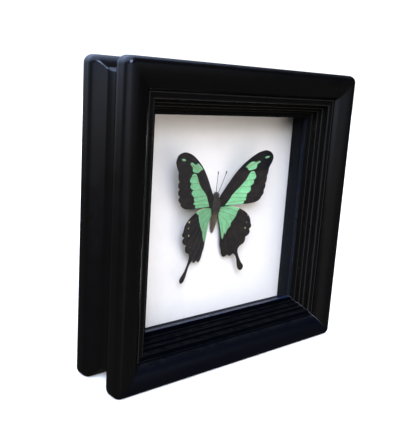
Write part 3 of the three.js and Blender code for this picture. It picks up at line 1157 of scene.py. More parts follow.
@dataclass
class Moulding:
    """Four mitred rails of one section, rounded together at the outer corners."""

    prefix: str
    node_prefix: str
    half: float = HALF_WIDTH
    depth: float = DEPTH
    corner: float = 5.0
    joint: float = 0.06
    soften: float = 0.35
    sanded: float = 1.3
    sanded_inset: float = 12.0
    sanded_fall: float = 0.15
    sharpest: float = 0.12
    corner_steps: int = 8
    straight_steps: int = 10
    groove: float = 8.2
    flange: float = 9.5
    turn: Point = (6.0, 18.8)
    hollow_depth: float = 21.6
    round_low: Point = (3.6, 16.6)
    round_high: Point = (0.0, 13.0)
    meet: float = 24.5
    rabbet: float = 22.0

    def draw_ogee(self, path: SectionPath, place: Callable[[float], float]) -> None:
        """Runs a section from the groove's floor up to the outer face.

        Args:
            path: The section, which has reached the groove's floor.
            place: Turns a depth into the moulding's own.
        """
        start = path.points[-1]
        control = (self.groove, place(self.hollow_depth))
        end = (self.turn[0], place(self.turn[1]))
        first = tuple(s + (c - s) * 2 / 3 for s, c in zip(start, control))
        second = tuple(e + (c - e) * 2 / 3 for e, c in zip(end, control))
        path.bezier(first, second, end, steps=10)
        path.bezier(
            (self.round_low[0], place(self.round_low[1])),
            (self.round_high[0], place(self.round_high[1])),
            (0.0, place(self.flange)),
        )

    def section(self) -> list[Point]:
        """The moulding's section."""
        raise NotImplementedError

    def turn_radius(self, inset: float) -> float:
        """How round the moulding turns its corner at one inset.

        Args:
            inset: The inset from the outer face.

        Returns:
            The radius in millimetres.
        """
        sanded = self.sanded - self.sanded_fall * max(0.0, inset - self.sanded_inset)
        return max(self.corner - inset, sanded, self.sharpest)

    def station(self, inset: float, step: int) -> Point:
        """Where a section's point lies at one station from a rail's middle to its end.

        Args:
            inset: The point's inset from the outer face.
            step: The station, 0 at the middle.

        Returns:
            How far along the rail it lies, and how far out from the frame's middle.
        """
        radius = self.turn_radius(inset)
        middle = self.half - inset - radius
        if step <= self.straight_steps:
            return middle * step / self.straight_steps, self.half - inset
        angle = math.radians(90 - 45 * (step - self.straight_steps) / self.corner_steps)
        return middle + radius * math.cos(angle), middle + radius * math.sin(angle)

    def rail_mesh(self, edge: Edge) -> bpy.types.Mesh:
        """One rail, turned to its side of the frame.

        Args:
            edge: The side that it makes.

        Returns:
            Its mesh.
        """
        section = self.section()
        reach = self.straight_steps + self.corner_steps
        turn = Matrix.Rotation(math.radians(90 * edge.value), 3, "Y")
        points: list[Vector] = []
        for station in range(-reach, reach + 1):
            for inset, depth in section:
                along, out = self.station(inset, abs(station))
                along -= self.joint / 2 * abs(station) / reach
                local = Vector((math.copysign(along, station), depth - self.depth / 2, -out))
                points.append(turn @ local + Vector((0, 0, self.half)))
        mesh = mesh_from(f"{self.prefix}_{edge.label}", points, tube_faces(len(section), 2 * reach))
        face_outwards(mesh, merge=0.002)
        return mesh

    def build(self) -> list[bpy.types.Object]:
        """Builds and dresses the four rails.

        Returns:
            The rails.
        """
        rails = []
        for edge in Edge:
            name, node = f"{self.prefix}_{edge.label}", f"{self.node_prefix}_{edge.label}"
            rail = add_piece(name, self.rail_mesh(edge), Slot.FRAME_PAINT, self.finish(edge), [node])
            self.dress_steps(rail.data, edge)
            rails.append(rail)
        return rails

    def finish(self, edge: Edge) -> SatinLacquer:
        """The lacquer for one side."""
        return SatinLacquer(edge.upright)

    def dress_steps(self, mesh: bpy.types.Mesh, edge: Edge) -> None:
        """Gives routed steps their own lacquer; a plain moulding has none."""


@dataclass
class FrontMoulding(Moulding):
    """The stepped moulding round the glass."""

    prefix: str = "front_moulding"
    node_prefix: str = "front_rail"
    edge_radii: Point = (3.8, 5.0)
    bead: Point = (14.0, 6.0)
    ridge: Triple = (18.55, 6.4, 0.75)
    score: float = 20.95
    score_width: float = 0.2
    terrace: float = 6.3
    steps: tuple[tuple[float, float, float, float, float], ...] = (
        (21.9, 6.7, 0.6, 22.9, 9.7),
        (24.4, 10.3, 0.5, 25.2, 12.2),
        (26.5, 12.7, 0.4, 27.3, 15.8),
        (28.2, 16.2, 0.3, 28.7, 17.1),
    )
    sight: Point = (31.8, 17.5)
    lip_back: float = 20.5
    routed_from: float = 17.9
    lip_lead: float = 0.2
    # Where the painted highlight lines lie: along the ridge and along each step edge.
    highlight_ridge: Point = (-0.4, 0.5)
    highlight_lead: float = 0.1

    def section(self) -> list[Point]:
        """The section, from the flange over the crest and down the steps to the sight edge.

        Returns:
            Its (inset, depth) points.
        """
        out, deep = self.edge_radii
        ridge_in, ridge_deep, ridge_radius = self.ridge
        path = SectionPath((0.0, self.flange))
        path.line((0.0, deep))
        path.arc((out, deep), (out, deep), 180, 270)
        path.arc((out, self.bead[1]), self.bead, 270, 360, steps=22)
        path.arc((ridge_in, ridge_deep), (ridge_radius, ridge_radius), 180, 360)
        path.line(
            (self.score - self.score_width, self.terrace),
            (self.score, self.terrace + 2 * self.score_width),
            (self.score + self.score_width, self.terrace),
        )
        for edge_in, edge_deep, radius, foot_in, foot_deep in self.steps:
            path.arc((edge_in, edge_deep), (radius, radius), 270, 355, steps=6)
            path.line((foot_in, foot_deep))
        path.line(self.sight)
        path.line((self.sight[0], self.lip_back), (self.rabbet, self.lip_back))
        path.line((self.rabbet, self.meet), (self.groove, self.meet))
        self.draw_ogee(path, lambda depth: depth)
        return path.softened(self.soften)

    def finish(self, edge: Edge, zone: Zone = Zone.CREST) -> SatinLacquer:
        """The lacquer for one side, with a pale line painted along the lower right mitre.

        Args:
            edge: The rail's side.
            zone: The part of the section.

        Returns:
            Its lacquer: duller on the steps, lighter on their edges as painted highlight lines, bluish on
                the lip as a painted reflection, and darker and bluer on the bottom rail as painted shade.
        """
        # The bottom rail takes its darker, bluer coats as painted shade.
        shaded = edge is Edge.BOTTOM
        coat = (SHADED_COATS if shaded else COATS)[zone]
        return SatinLacquer(edge.upright, shaded or edge is Edge.RIGHT, zone, coat)

    def dress_steps(self, mesh: bpy.types.Mesh, edge: Edge) -> None:
        """Gives the routed steps, the lip and the painted highlight lines on the ridge and step edges
        lacquers of their own.

        Args:
            mesh: The rail's mesh.
            edge: The rail's side.
        """
        zones = list(Zone)
        for zone in zones[1:]:
            mesh.materials.append(self.finish(edge, zone).material())
        ridge_in, _, ridge_radius = self.ridge
        # Bands along the ridge and the step edges, lacquered lighter as painted highlight lines.
        rubbed = [tuple(ridge_in + share * ridge_radius for share in self.highlight_ridge)]
        rubbed += [(edge_in - self.highlight_lead, edge_in + radius) for edge_in, _, radius, _, _ in self.steps]
        for face in mesh.polygons:
            across, _, up = face.center / MM
            inset = self.half - max(abs(across), abs(up - self.half))
            zone = Zone.STEPS if inset > self.routed_from else Zone.CREST
            if inset > self.sight[0] - self.lip_lead:
                zone = Zone.LIP
            if any(low < inset < high for low, high in rubbed):
                zone = Zone.EDGES
            face.material_index = zones.index(zone)


@dataclass
class RearMoulding(Moulding):
    """The plain moulding behind, a mirror of the front one's outside."""

    prefix: str = "rear_moulding"
    node_prefix: str = "rear_rail"
    edge_radii: Point = (4.2, 4.6)
    seam: float = 0.08
    flange: float = 8.5
    turn: Point = (6.9, 17.8)
    hollow_depth: float = 19.7
    round_low: Point = (5.0, 16.1)
    round_high: Point = (0.0, 12.9)

    def section(self) -> list[Point]:
        """The section, from the flange round the back and along the recess.

        Returns:
            Its (inset, depth) points.
        """
        out, deep = self.edge_radii
        back = self.depth
        path = SectionPath((0.0, back - self.flange))
        path.line((0.0, back - deep))
        path.arc((out, back - deep), (out, deep), 180, 90)
        path.line((self.rabbet, back), (self.rabbet, self.meet + self.seam))
        path.line((self.groove, self.meet + self.seam))
        self.draw_ogee(path, lambda depth: back - depth)
        return path.softened(self.soften)


# ------------------------------------------------------------------------------ glass, boards, fittings


@dataclass
class Glazing:
    """The glass, the white board and the black walls between them."""

    white: Colour = (0.79, 0.765, 0.73)
    white_shade: Colour = (0.75, 0.73, 0.695)
    black: Colour = (0.0065, 0.0076, 0.0098)
    black_shade: Colour = (0.0048, 0.0057, 0.0075)

    def dress(self, nodes: dict[str, bpy.types.Object]) -> list[bpy.types.Object]:
        """Gives the flat pieces their finishes.

        Args:
            nodes: The CAD nodes by name.

        Returns:
            The nodes it dressed.
        """
        board = Board(
            "mount_board", self.white, self.white_shade, fibre=0.35, roughness=0.8, relief=0.012, gloss=0.06
        )
        card = Board(
            "spacer_card", self.black, self.black_shade, fibre=0.3, roughness=0.6, relief=0.01, gloss=0.04
        )
        finishes = {"glass_pane": ClearGlass(), "backing_board": board}
        finishes.update({f"spacer_{edge.label}": card for edge in Edge})
        dressed = []
        for name, finish in finishes.items():
            dress_node(nodes[name], finish)
            dressed.append(nodes[name])
        return dressed


def dress_node(
    node: bpy.types.Object, finish: Finish, bevel: float = 0.0, sharp_from: float = 35.0
) -> None:
    """Gives a CAD node a finish, and round edges where it has a bevel.

    Args:
        node: The CAD node.
        finish: Its finish.
        bevel: The width of its round edges in millimetres.
        sharp_from: The angle in degrees from which an edge is rounded.
    """
    node.data.materials.clear()
    node.data.materials.append(finish.material())
    if bevel > 0:
        weld = node.modifiers.new("weld", "WELD")
        weld.merge_threshold = 0.001 * MM
        rounding = node.modifiers.new("round_edges", "BEVEL")
        rounding.width = bevel * MM
        rounding.segments = 2
        rounding.limit_method = "ANGLE"
        rounding.angle_limit = math.radians(sharp_from)
        rounding.harden_normals = True


@dataclass
class BackFittings:
    """The back panel, its tabs and the hanger."""

    tab_bevel: float = 0.12
    hanger_bevel: float = 0.15
    rivet_bevel: float = 0.2
    brown: Colour = (0.235, 0.135, 0.065)
    brown_shade: Colour = (0.12, 0.066, 0.032)
    steel: Colour = (0.55, 0.56, 0.58)
    steel_dull: Colour = (0.3, 0.3, 0.29)
    brass: Colour = (0.66, 0.52, 0.27)
    brass_dull: Colour = (0.34, 0.24, 0.12)

    def dress(self, nodes: dict[str, bpy.types.Object]) -> list[bpy.types.Object]:
        """Gives the pieces at the back their finishes.

        Args:
            nodes: The CAD nodes by name.

        Returns:
            The nodes it dressed.
        """
        hardboard = Board(
            "hardboard", self.brown, self.brown_shade, fibre=0.6, roughness=0.7, relief=0.05, dust=0.2
        )
        steel = PlatedMetal("zinc_plate", self.steel, self.steel_dull, 0.34)
        brass = PlatedMetal("brass_plate", self.brass, self.brass_dull, 0.32)
        looks = (
            ("back_panel", hardboard, 0.0),
            ("tab_", steel, self.tab_bevel),
            ("hanger_rivet", steel, self.rivet_bevel),
            ("hanger", brass, self.hanger_bevel),
        )
        dressed = []
        for name, node in nodes.items():
            look = next((look for look in looks if name.startswith(look[0])), None)
            if look:
                dress_node(node, *look[1:])
                dressed.append(node)
        return dressed


# ------------------------------------------------------------------------------ the butterfly


@dataclass(frozen=True)
class Pose:
    """How the specimen stands in the frame."""

    across: float = -1.7
    depth: float = 34.4
    pitch: float = 3.0
    lift: float = 11.0

    def place(self, point: Vector) -> Vector:
        """Turns a point of the specimen into the row frame.

        Args:
            point: A point measured from the wing roots.

        Returns:
            Its place in the row frame, in millimetres.
        """
        turned = Matrix.Rotation(math.radians(self.pitch), 3, "X") @ point
        return turned + Vector((self.across, self.depth - DEPTH / 2, HALF_WIDTH))

    def raise_wing(self, hand: Hand, point: Vector) -> Vector:
        """Lifts a point of a flat wing towards the glass.

        Args:
            hand: The wing's side.
            point: The point in the wing's plane.

        Returns:
            The point on the raised wing.
        """
        lift = math.radians(self.lift)
        across = point.x * math.cos(lift) + point.y * math.sin(lift)
        back = point.y * math.cos(lift) - point.x * math.sin(lift)
        return Vector((hand.value * across, back, point.z))


@dataclass(frozen=True)
class Uneven:
    """How one side of the specimen differs from the drawn outline."""

    tip: float
    lean: float
    lift: float
    tip_start: float = 28.0
    tail_start: float = -22.0

    def shift(self, points: np.ndarray) -> np.ndarray:
        """Moves outline points to this side's shape.

        Args:
            points: The drawn points, one row each.

        Returns:
            The moved points.
        """
        beyond = np.maximum(0.0, points[:, 0] - self.tip_start)
        below = np.maximum(0.0, self.tail_start - points[:, 1])
        x = points[:, 0] - self.tip * beyond + self.lean * below
        return np.stack([x, points[:, 1] + self.lift * below], axis=1)


UNEVEN = {
    Hand.LEFT: Uneven(tip=0.02, lean=0.04, lift=0.01),
    Hand.RIGHT: Uneven(tip=0.085, lean=-0.04, lift=0.07),
}


@dataclass
class Wing:
    """One wing: a thin veined sheet whose markings are stored as distances."""

    name: str
    node: str
    hand: Hand
    outline: Sequence[Sequence[Point]]
    patches: Sequence[Sequence[Sequence[Point]]]
    veins: Sequence[Sequence[Point]]
    flecks: Sequence[Triple] = ()
    pale_line: Sequence[Point] = ()
    behind: float = 0.0
    pose: Pose = field(default_factory=Pose)
    bow: float = 0.7
    reach: float = 48.0
    thickness: float = 0.15
    rim_spacing: float = 0.4
    grid_spacing: float = 0.62
    vein_height: float = 0.09
    vein_width: float = 0.26
    vein_fade: float = 1.5
    vein_behind: float = 0.6
    rim_thin: float = 0.35
    rim_fade: float = 0.8
    vein_spacing: float = 0.5
    vein_clear: float = 0.5
    rim_clear: float = 0.3
    pleat: float = 0.16
    pleat_reach: float = 2.2
    wave: float = 0.16
    wave_length: float = 7.0
    pale_width: float = 0.3

    def sheet(self) -> tuple[np.ndarray, list[list[int]], list[int]]:
        """Fills the outline with triangles that follow the veins.

        Returns:
            The points in the wing's plane, the triangles, and the rim's points in order.
        """
        rim = resample(UNEVEN[self.hand].shift(closed_outline(self.outline)), self.rim_spacing)[::-1]
        vein_points = [self.beside(resample(v, self.vein_spacing, closed=False)) for v in self.vein_lines()]
        low, high = rim.min(axis=0), rim.max(axis=0)
        rows = np.arange(low[1], high[1], self.grid_spacing * 0.87)
        columns = np.arange(low[0], high[0], self.grid_spacing)
        shifts = (0.0, 0.5 * self.grid_spacing)
        grid = np.array([(x + shifts[row % 2], z) for row, z in enumerate(rows) for x in columns])
        loose = np.vstack([grid[self.vein_distance(grid) > self.vein_clear], *vein_points])
        loose = loose[signed_distance(loose, rim) > self.rim_clear]
        corners = [Vector(p) for p in np.vstack([rim, loose])]
        found = delaunay_2d_cdt(corners, [], [list(range(len(rim)))], 0, 1e-5, True)
        points = np.array([tuple(v) for v in found[0]])
        triangles = np.array([list(face) for face in found[2]])
        triangles = triangles[inside_outline(points[triangles].mean(axis=1), rim)]
        origin = {old: new for new, olds in enumerate(found[3]) for old in olds}
        return points, triangles.tolist(), [origin[i] for i in range(len(rim))]

    def vein_lines(self) -> list[np.ndarray]:
        """The veins as smooth lines."""
        return [np.array(through(vein, 6)) for vein in self.veins]

    @staticmethod
    def beside(line: np.ndarray, offset: float = 0.3) -> np.ndarray:
        """A vein's points together with a row on each side of it.

        Args:
            line: The vein's points.
            offset: How far off the two rows lie.

        Returns:
            All three rows.
        """
        run = np.gradient(line, axis=0)
        run /= np.maximum(np.hypot(run[:, 0], run[:, 1]), 1e-9)[:, None]
        side = np.stack([-run[:, 1], run[:, 0]], axis=1) * offset
        return np.vstack([line, line + side, line - side])

    def vein_distance(self, points: np.ndarray) -> np.ndarray:
        """How far points lie from the nearest vein."""
        return np.min([distance_to_path(points, line) for line in self.vein_lines()], axis=0)

    def relief(self, points: np.ndarray, veins: np.ndarray) -> np.ndarray:
        """How far the sheet stands out from its plane, towards the glass.

        Args:
            points: Points in the wing's plane.
            veins: Their distances from the nearest vein.

        Returns:
            The height of each point in millimetres.
        """
        bowed = self.bow * np.sin(math.pi * np.clip(points[:, 0] / self.reach, 0.0, 1.0))
        sunk = self.pleat * np.clip(veins / self.pleat_reach, 0.0, 1.0) ** 1.5
        seed = self.hand.value * 11.0 + self.behind * 5.0
        waves = np.array([noise.noise(Vector((x, z, seed))) for x, z in points / self.wave_length])
        return bowed - sunk + self.wave * waves

    def build(self, finish: WingScales) -> bpy.types.Object:
        """Builds and dresses the wing.

        Args:
            finish: Its scales.

        Returns:
            The wing.
        """
        points, triangles, rim = self.sheet()
        count = len(points)
        veins = self.vein_distance(points)
        edge = np.abs(signed_distance(points, points[rim]))
        ridge = self.vein_height * np.exp(-((veins / self.vein_width) ** 2))
        ridge = ridge * np.clip(edge / self.vein_fade, 0.0, 1.0)
        base = self.relief(points, veins)
        full = self.rim_thin + (1.0 - self.rim_thin) * np.clip(edge / self.rim_fade, 0.0, 1.0)
        half = 0.5 * self.thickness * full
        shown: list[Vector] = []
        for side, lift in ((1.0, ridge), (-1.0, ridge * self.vein_behind)):
            for (x, z), height, thick, rise in zip(points, base, half, lift):
                flat = Vector((x, self.behind - height - side * (thick + rise), z))
                shown.append(self.pose.place(self.pose.raise_wing(self.hand, flat)))
        faces = [list(t) for t in triangles] + [[i + count for i in reversed(t)] for t in triangles]
        for here, there in zip(rim, [*rim[1:], rim[0]]):
            faces.append([there, here, here + count, there + count])
        mesh = mesh_from(self.name, shown, faces, crease=60.0)
        for name, values in self.markings(points, veins).items():
            store(mesh, name, np.concatenate([values, values]))
        face_outwards(mesh)
        return add_piece(self.name, mesh, Slot.WING_SCALES, finish, [self.node])

    def markings(self, points: np.ndarray, veins: np.ndarray) -> dict[str, np.ndarray]:
        """The distances that the scales take their colours from.

        Args:
            points: Points in the wing's plane.
            veins: Their distances from the nearest vein.

        Returns:
            One array for each marking, in millimetres.
        """
        far = np.full(len(points), -20.0)
        green, cream, pale = far, far, far
        for patch in self.patches:
            green = np.maximum(green, signed_distance(points, closed_outline(patch, 4)))
        for x, z, radius in self.flecks:
            cream = np.maximum(cream, radius - np.hypot(points[:, 0] - x, points[:, 1] - z))
        if self.pale_line:
            pale = self.pale_width - distance_to_path(points, np.array(through(self.pale_line, 6)))
        return {"green": green, "cream": cream, "pale": pale, "vein": veins}


# Outlines and markings run outwards from the body line and upwards from the wing roots.
# A stretch is a smooth curve, and two stretches meet in a corner.

FOREWING_OUTLINE = [
    [(2, 10), (4.6, 14.8), (8.2, 20.6), (13, 27.7), (18, 33.5), (23, 38.1), (28, 41.6), (33, 43.9),
     (38, 45), (42, 44.3), (44.9, 42.4), (46, 39.4), (45.2, 36.6), (43.7, 33.9), (42.8, 32.2)],
    [(42.9, 30.4), (42.5, 28.2), (41.6, 26.4)],
    [(42.2, 24.6), (42, 22.8), (41.0, 21.3)],
    [(41.6, 19.6), (41.4, 17.8), (40.1, 16.3)],
    [(40.7, 14.6), (40, 12.8), (38.5, 11.5)],
    [(38.2, 10.2), (35.9, 8.5), (33, 7.3), (28, 6.6), (23, 6.2), (16, 6), (9, 5.2), (2, 4)],
]

HINDWING_OUTLINE = [
    [(2, 4.2), (6, 5.3), (10, 5.5), (14, 5.1), (18, 4.2), (22, 2.5), (26, 0.3), (29.2, -2.3),
     (31.2, -5.2), (32, -8.2), (33.3, -10.4)],
    [(32.4, -11.8), (31.2, -12.9)],
    [(32.1, -14.4), (32, -15.9), (30.8, -17.3), (28.6, -18.5)],
    [(28.6, -20.4), (28.2, -22.4), (26.9, -23.9), (24.7, -25.2)],
    [(23.5, -27.2), (23.4, -29.8), (24.5, -32.8), (26, -36), (27.8, -39), (29.9, -41.2), (30.7, -43.2),
     (29.7, -45.2), (28, -45.8), (26.2, -44.6), (24.7, -41.8), (23.8, -38.2), (22.8, -35), (21.3, -32.6),
     (19.5, -31.4)],
    [(18.3, -32.6), (16.7, -33.2), (15, -31.9)],
    [(13.5, -33), (12, -33.6), (10.6, -32.5), (9.4, -30.2), (8.8, -27.2)],
    [(7.5, -24), (6.8, -19), (6, -14), (5, -9), (3.9, -4.5), (2, -1.5)],
]

BAND_LEFT = [
    [(23.7, 28.2), (25.1, 29.8), (27.1, 30.5), (29.0, 29.9), (29.8, 28.6)],
    [(31.0, 26.8), (30.6, 25.0), (29.2, 24.1)],
    [(30.0, 22.6), (29.4, 21.0), (26.8, 19.4)],
    [(28.0, 18.0), (27.4, 16.2), (25.1, 14.4)],
    [(25.2, 12.9), (24.1, 11.3)],
    [(25.4, 10.4), (24.8, 9.5), (23.1, 9.0)],
    [(23.3, 7.7), (22.6, 6.5)],
    [(14.0, 6.1), (7.2, 5.8)],
    [(8.7, 8.6), (10.9, 12.5), (12.6, 15.0), (15.1, 17.5), (18.4, 20.0), (20.9, 23.2), (22.6, 26.1),
     (23.7, 28.2)],
]

BAND_RIGHT = [
    [(25.0, 28.4), (26.2, 29.6), (28.0, 30.1), (29.4, 29.4), (30.0, 28.4)],
    [(31.0, 26.6), (30.8, 25.2), (29.2, 23.7)],
    [(29.7, 22.2), (29.2, 20.9), (26.9, 19.3)],
    [(27.8, 17.6), (27.3, 15.8), (24.3, 13.4)],
    [(24.9, 12.3), (24.1, 11.1)],
    [(24.7, 10.0), (24.1, 9.0), (22.9, 8.4)],
    [(23.0, 7.4), (22.3, 6.3)],
    [(14.0, 6.0), (7.6, 5.7)],
    [(10.5, 9.3), (12.6, 12.9), (15.1, 15.7), (18.7, 19.3), (21.6, 22.5), (23.7, 25.4), (25.0, 28.4)],
]

BLOB_LEFT = [
    [(18.4, 32.6), (20.9, 34.8), (23.0, 36.4), (24.4, 37.1)],
    [(26.2, 36.3), (27.6, 36.4)],
    [(29.1, 37.4), (30.9, 38.0), (32.6, 37.1)],
    [(31.0, 36.0), (29.9, 35.2), (29.1, 34.0)],
    [(29.4, 32.9), (28.4, 31.7), (26.2, 31.1)],
    [(24.6, 30.7), (22.8, 30.8), (21.2, 31.7)],
    [(20.2, 32.3), (18.4, 32.6)],
]

BLOB_RIGHT = [
    [(20.8, 32.6), (23.0, 34.9), (25.2, 36.5), (26.6, 37.0)],
    [(28.4, 36.6), (30.0, 36.6)],
    [(31.4, 37.2), (32.8, 37.4), (33.4, 36.6)],
    [(32.2, 35.7), (31.0, 35.3), (30.8, 34.2)],
    [(30.4, 32.4), (28.9, 31.3), (26.6, 30.8)],
    [(24.4, 30.7), (23.2, 31.6)],
    [(22.4, 32.8), (20.8, 32.6)],
]

TIP_SPOT = [
    [(36.7, 39.8), (38.2, 40.7), (40.2, 40.9), (41.2, 40.5)],
    [(39.6, 39.6), (38.0, 39.3), (36.7, 39.8)],
]

FOREWING_VEINS = [
    [(2.5, 7.5), (8, 15.5), (15, 24.2), (22, 30.6), (30, 36), (37, 39.6), (45, 40.6)],
    [(2.5, 8.5), (7, 16.4), (13.5, 25.2), (20, 32), (27, 37.2), (34, 41.4), (40, 44.4)],
    [(15, 24.2), (21.5, 32.0), (26.8, 35.0), (33, 37), (44.6, 36.4)],
    [(22, 29.2), (27, 31.0), (35, 33.0), (43.3, 33.4)],
    [(22.6, 26.1), (23.5, 28.4), (29.8, 28.6), (36, 29.4), (41.9, 29.5)],
    [(2.5, 6.5), (9.5, 12.2), (15.5, 17.6), (20.5, 22.4), (22.6, 26.1)],
    [(20.6, 23.2), (25, 23.7), (29.6, 24.0), (35.5, 24.9), (41.9, 25.6)],
    [(17, 18.8), (22, 19.2), (27, 19.3), (34, 20.4), (41.2, 21.4)],
    [(12.6, 14.2), (19, 14.3), (25, 14.2), (32, 15.2), (40.4, 16.5)],
    [(8, 8.8), (13, 11.4), (18.5, 11.3), (24.1, 11.1), (31, 11.6), (38.8, 11.4)],
    [(3, 5), (9, 7.2), (16, 8.4), (23, 8.8), (30, 8.9), (36.6, 8.8)],
]

HINDWING_VEINS = [
    [(2.5, 2.5), (8, 3.6), (14, 2.6), (19, 0.4), (25, -2.2), (31.6, -8.4)],
    [(2.5, 1.6), (7.5, 0.8), (12.5, -0.9), (18, -3.2), (25, -7.2), (31.2, -12.4)],
    [(12.5, -0.9), (15.5, -6), (20, -11), (25, -15), (29, -18.6)],
    [(2.5, 1), (6.5, -2.4), (10.4, -5.6), (14, -10.4), (19, -17.6), (24.6, -25)],
    [(10.4, -5.6), (11.6, -12), (14.8, -21), (21.4, -30.4), (27.6, -43.4)],
    [(2.5, 0.4), (5.2, -4.5), (7.8, -10), (9.6, -17), (11.6, -25), (15, -31.8)],
    [(7.8, -10), (8.4, -18), (9.4, -26), (12, -33)],
]

GREEN_LEFT = [
    [(2.2, 2.6), (4.4, 4.2), (7.0, 5.1), (10.4, 5.3), (14.0, 5.0), (17.4, 4.1), (20.5, 2.9)],
    [(18.7, 1.8), (17.2, 0.2), (16.6, -2.2), (15.4, -5.0)],
    [(14.2, -7.5), (12.8, -9.9), (11.3, -11.8), (10.7, -13.9), (9.8, -16.8), (8.5, -19.6)],
    [(7.3, -18.7), (6.2, -15.0), (5.0, -11.4), (3.7, -7.9), (2.7, -4.3), (2.1, -0.7), (2.2, 2.6)],
]

GREEN_RIGHT = [
    [(3.6, 2.6), (5.6, 4.4), (9.5, 5.2), (13.5, 5.0), (17.4, 4.0), (21.2, 2.6)],
    [(19.4, 1.4), (18.8, -0.6)],
    [(18.2, -2.4), (16.6, -4.6), (14.6, -7.2)],
    [(14.6, -9.6), (12.6, -11.6)],
    [(11.8, -13.4), (10.9, -16.0)],
    [(10.2, -14.4), (9.7, -16.4), (9.3, -19.2)],
    [(8.2, -18.2), (7.0, -13.6), (5.6, -8.6), (4.2, -3.8), (3.3, 0), (3.6, 2.6)],
]

# A fleck is its place and its radius.

FOREWING_FLECKS = [
    (42.4, 32.0, 0.3), (41.6, 26.3, 0.5), (41.1, 21.2, 0.5), (40.2, 16.2, 0.5), (38.5, 11.4, 0.45),
]
MARGIN_FLECKS = [
    (31.4, -12.7, 0.55), (28.7, -18.7, 0.6), (24.6, -25.2, 0.35), (19.4, -31.3, 0.4), (14.8, -32.4, 0.55),
]
FLECKS_LEFT = [(26.9, -2.5, 0.7), (26.9, -6.8, 0.5), (25.9, -12.1, 0.65), (23.4, -20.7, 0.3)]
FLECKS_RIGHT = [(28.4, -2.1, 0.5), (28.0, -7.5, 0.32), (27.3, -11.8, 0.6)]
HINDWING_PALE_LINE = [(6.5, 5.2), (10.4, 5.45), (14.0, 5.1), (17.4, 4.2), (20.3, 3.1)]


@dataclass
class InsectMesh:
    """Corners, faces and lightness values that grow lump by lump."""

    points: list[Vector] = field(default_factory=list)
    faces: list[list[int]] = field(default_factory=list)
    shades: list[float] = field(default_factory=list)

    def add(self, points: Sequence[Vector], faces: Sequence[Sequence[int]], shade: float) -> None:
        """Adds one lump.

        Args:
            points: Its corners, measured from the wing roots.
            faces: Its faces, as its own corner numbers.
            shade: How light it is.
        """
        self.faces += [[index + len(self.points) for index in face] for face in faces]
        self.points += points
        self.shades += [shade] * len(points)

    def piece(
        self, name: str, pose: Pose, finish: Finish, replaced: Sequence[str] = (), hairs: bool = False
    ) -> bpy.types.Object:
        """Makes one dressed piece of all the lumps.

        Args:
            name: The piece's name.
            pose: How the specimen stands.
            finish: Its finish.
            replaced: The CAD nodes that it stands for.
            hairs: Whether it is made of hairs, whose faces stay as they are.

        Returns:
            The piece.
        """
        crease = 80.0 if hairs else 70.0
        mesh = mesh_from(name, [pose.place(point) for point in self.points], self.faces, crease)
        store(mesh, "tan", self.shades)
        if not hairs:
            face_outwards(mesh)
        return add_piece(name, mesh, Slot.BODY_FUR, finish, replaced)


@dataclass(frozen=True)
class Tuft:
    """The hair of one lump."""

    count: int
    length: float
    tan: float
    lengths: Point = (0.6, 1.25)
    shades: Point = (-0.2, 0.25)
    stand: float = 0.75
    lean: float = 0.6
    lean_across: Point = (-0.5, 0.5)
    lean_forward: Point = (-0.2, 0.2)
    lean_down: Point = (-1.5, -0.5)
    thickness: Point = (0.055, 0.04)
    bend_at: float = 0.55
    root_sunk: float = 0.15
    hang: float = 0.25


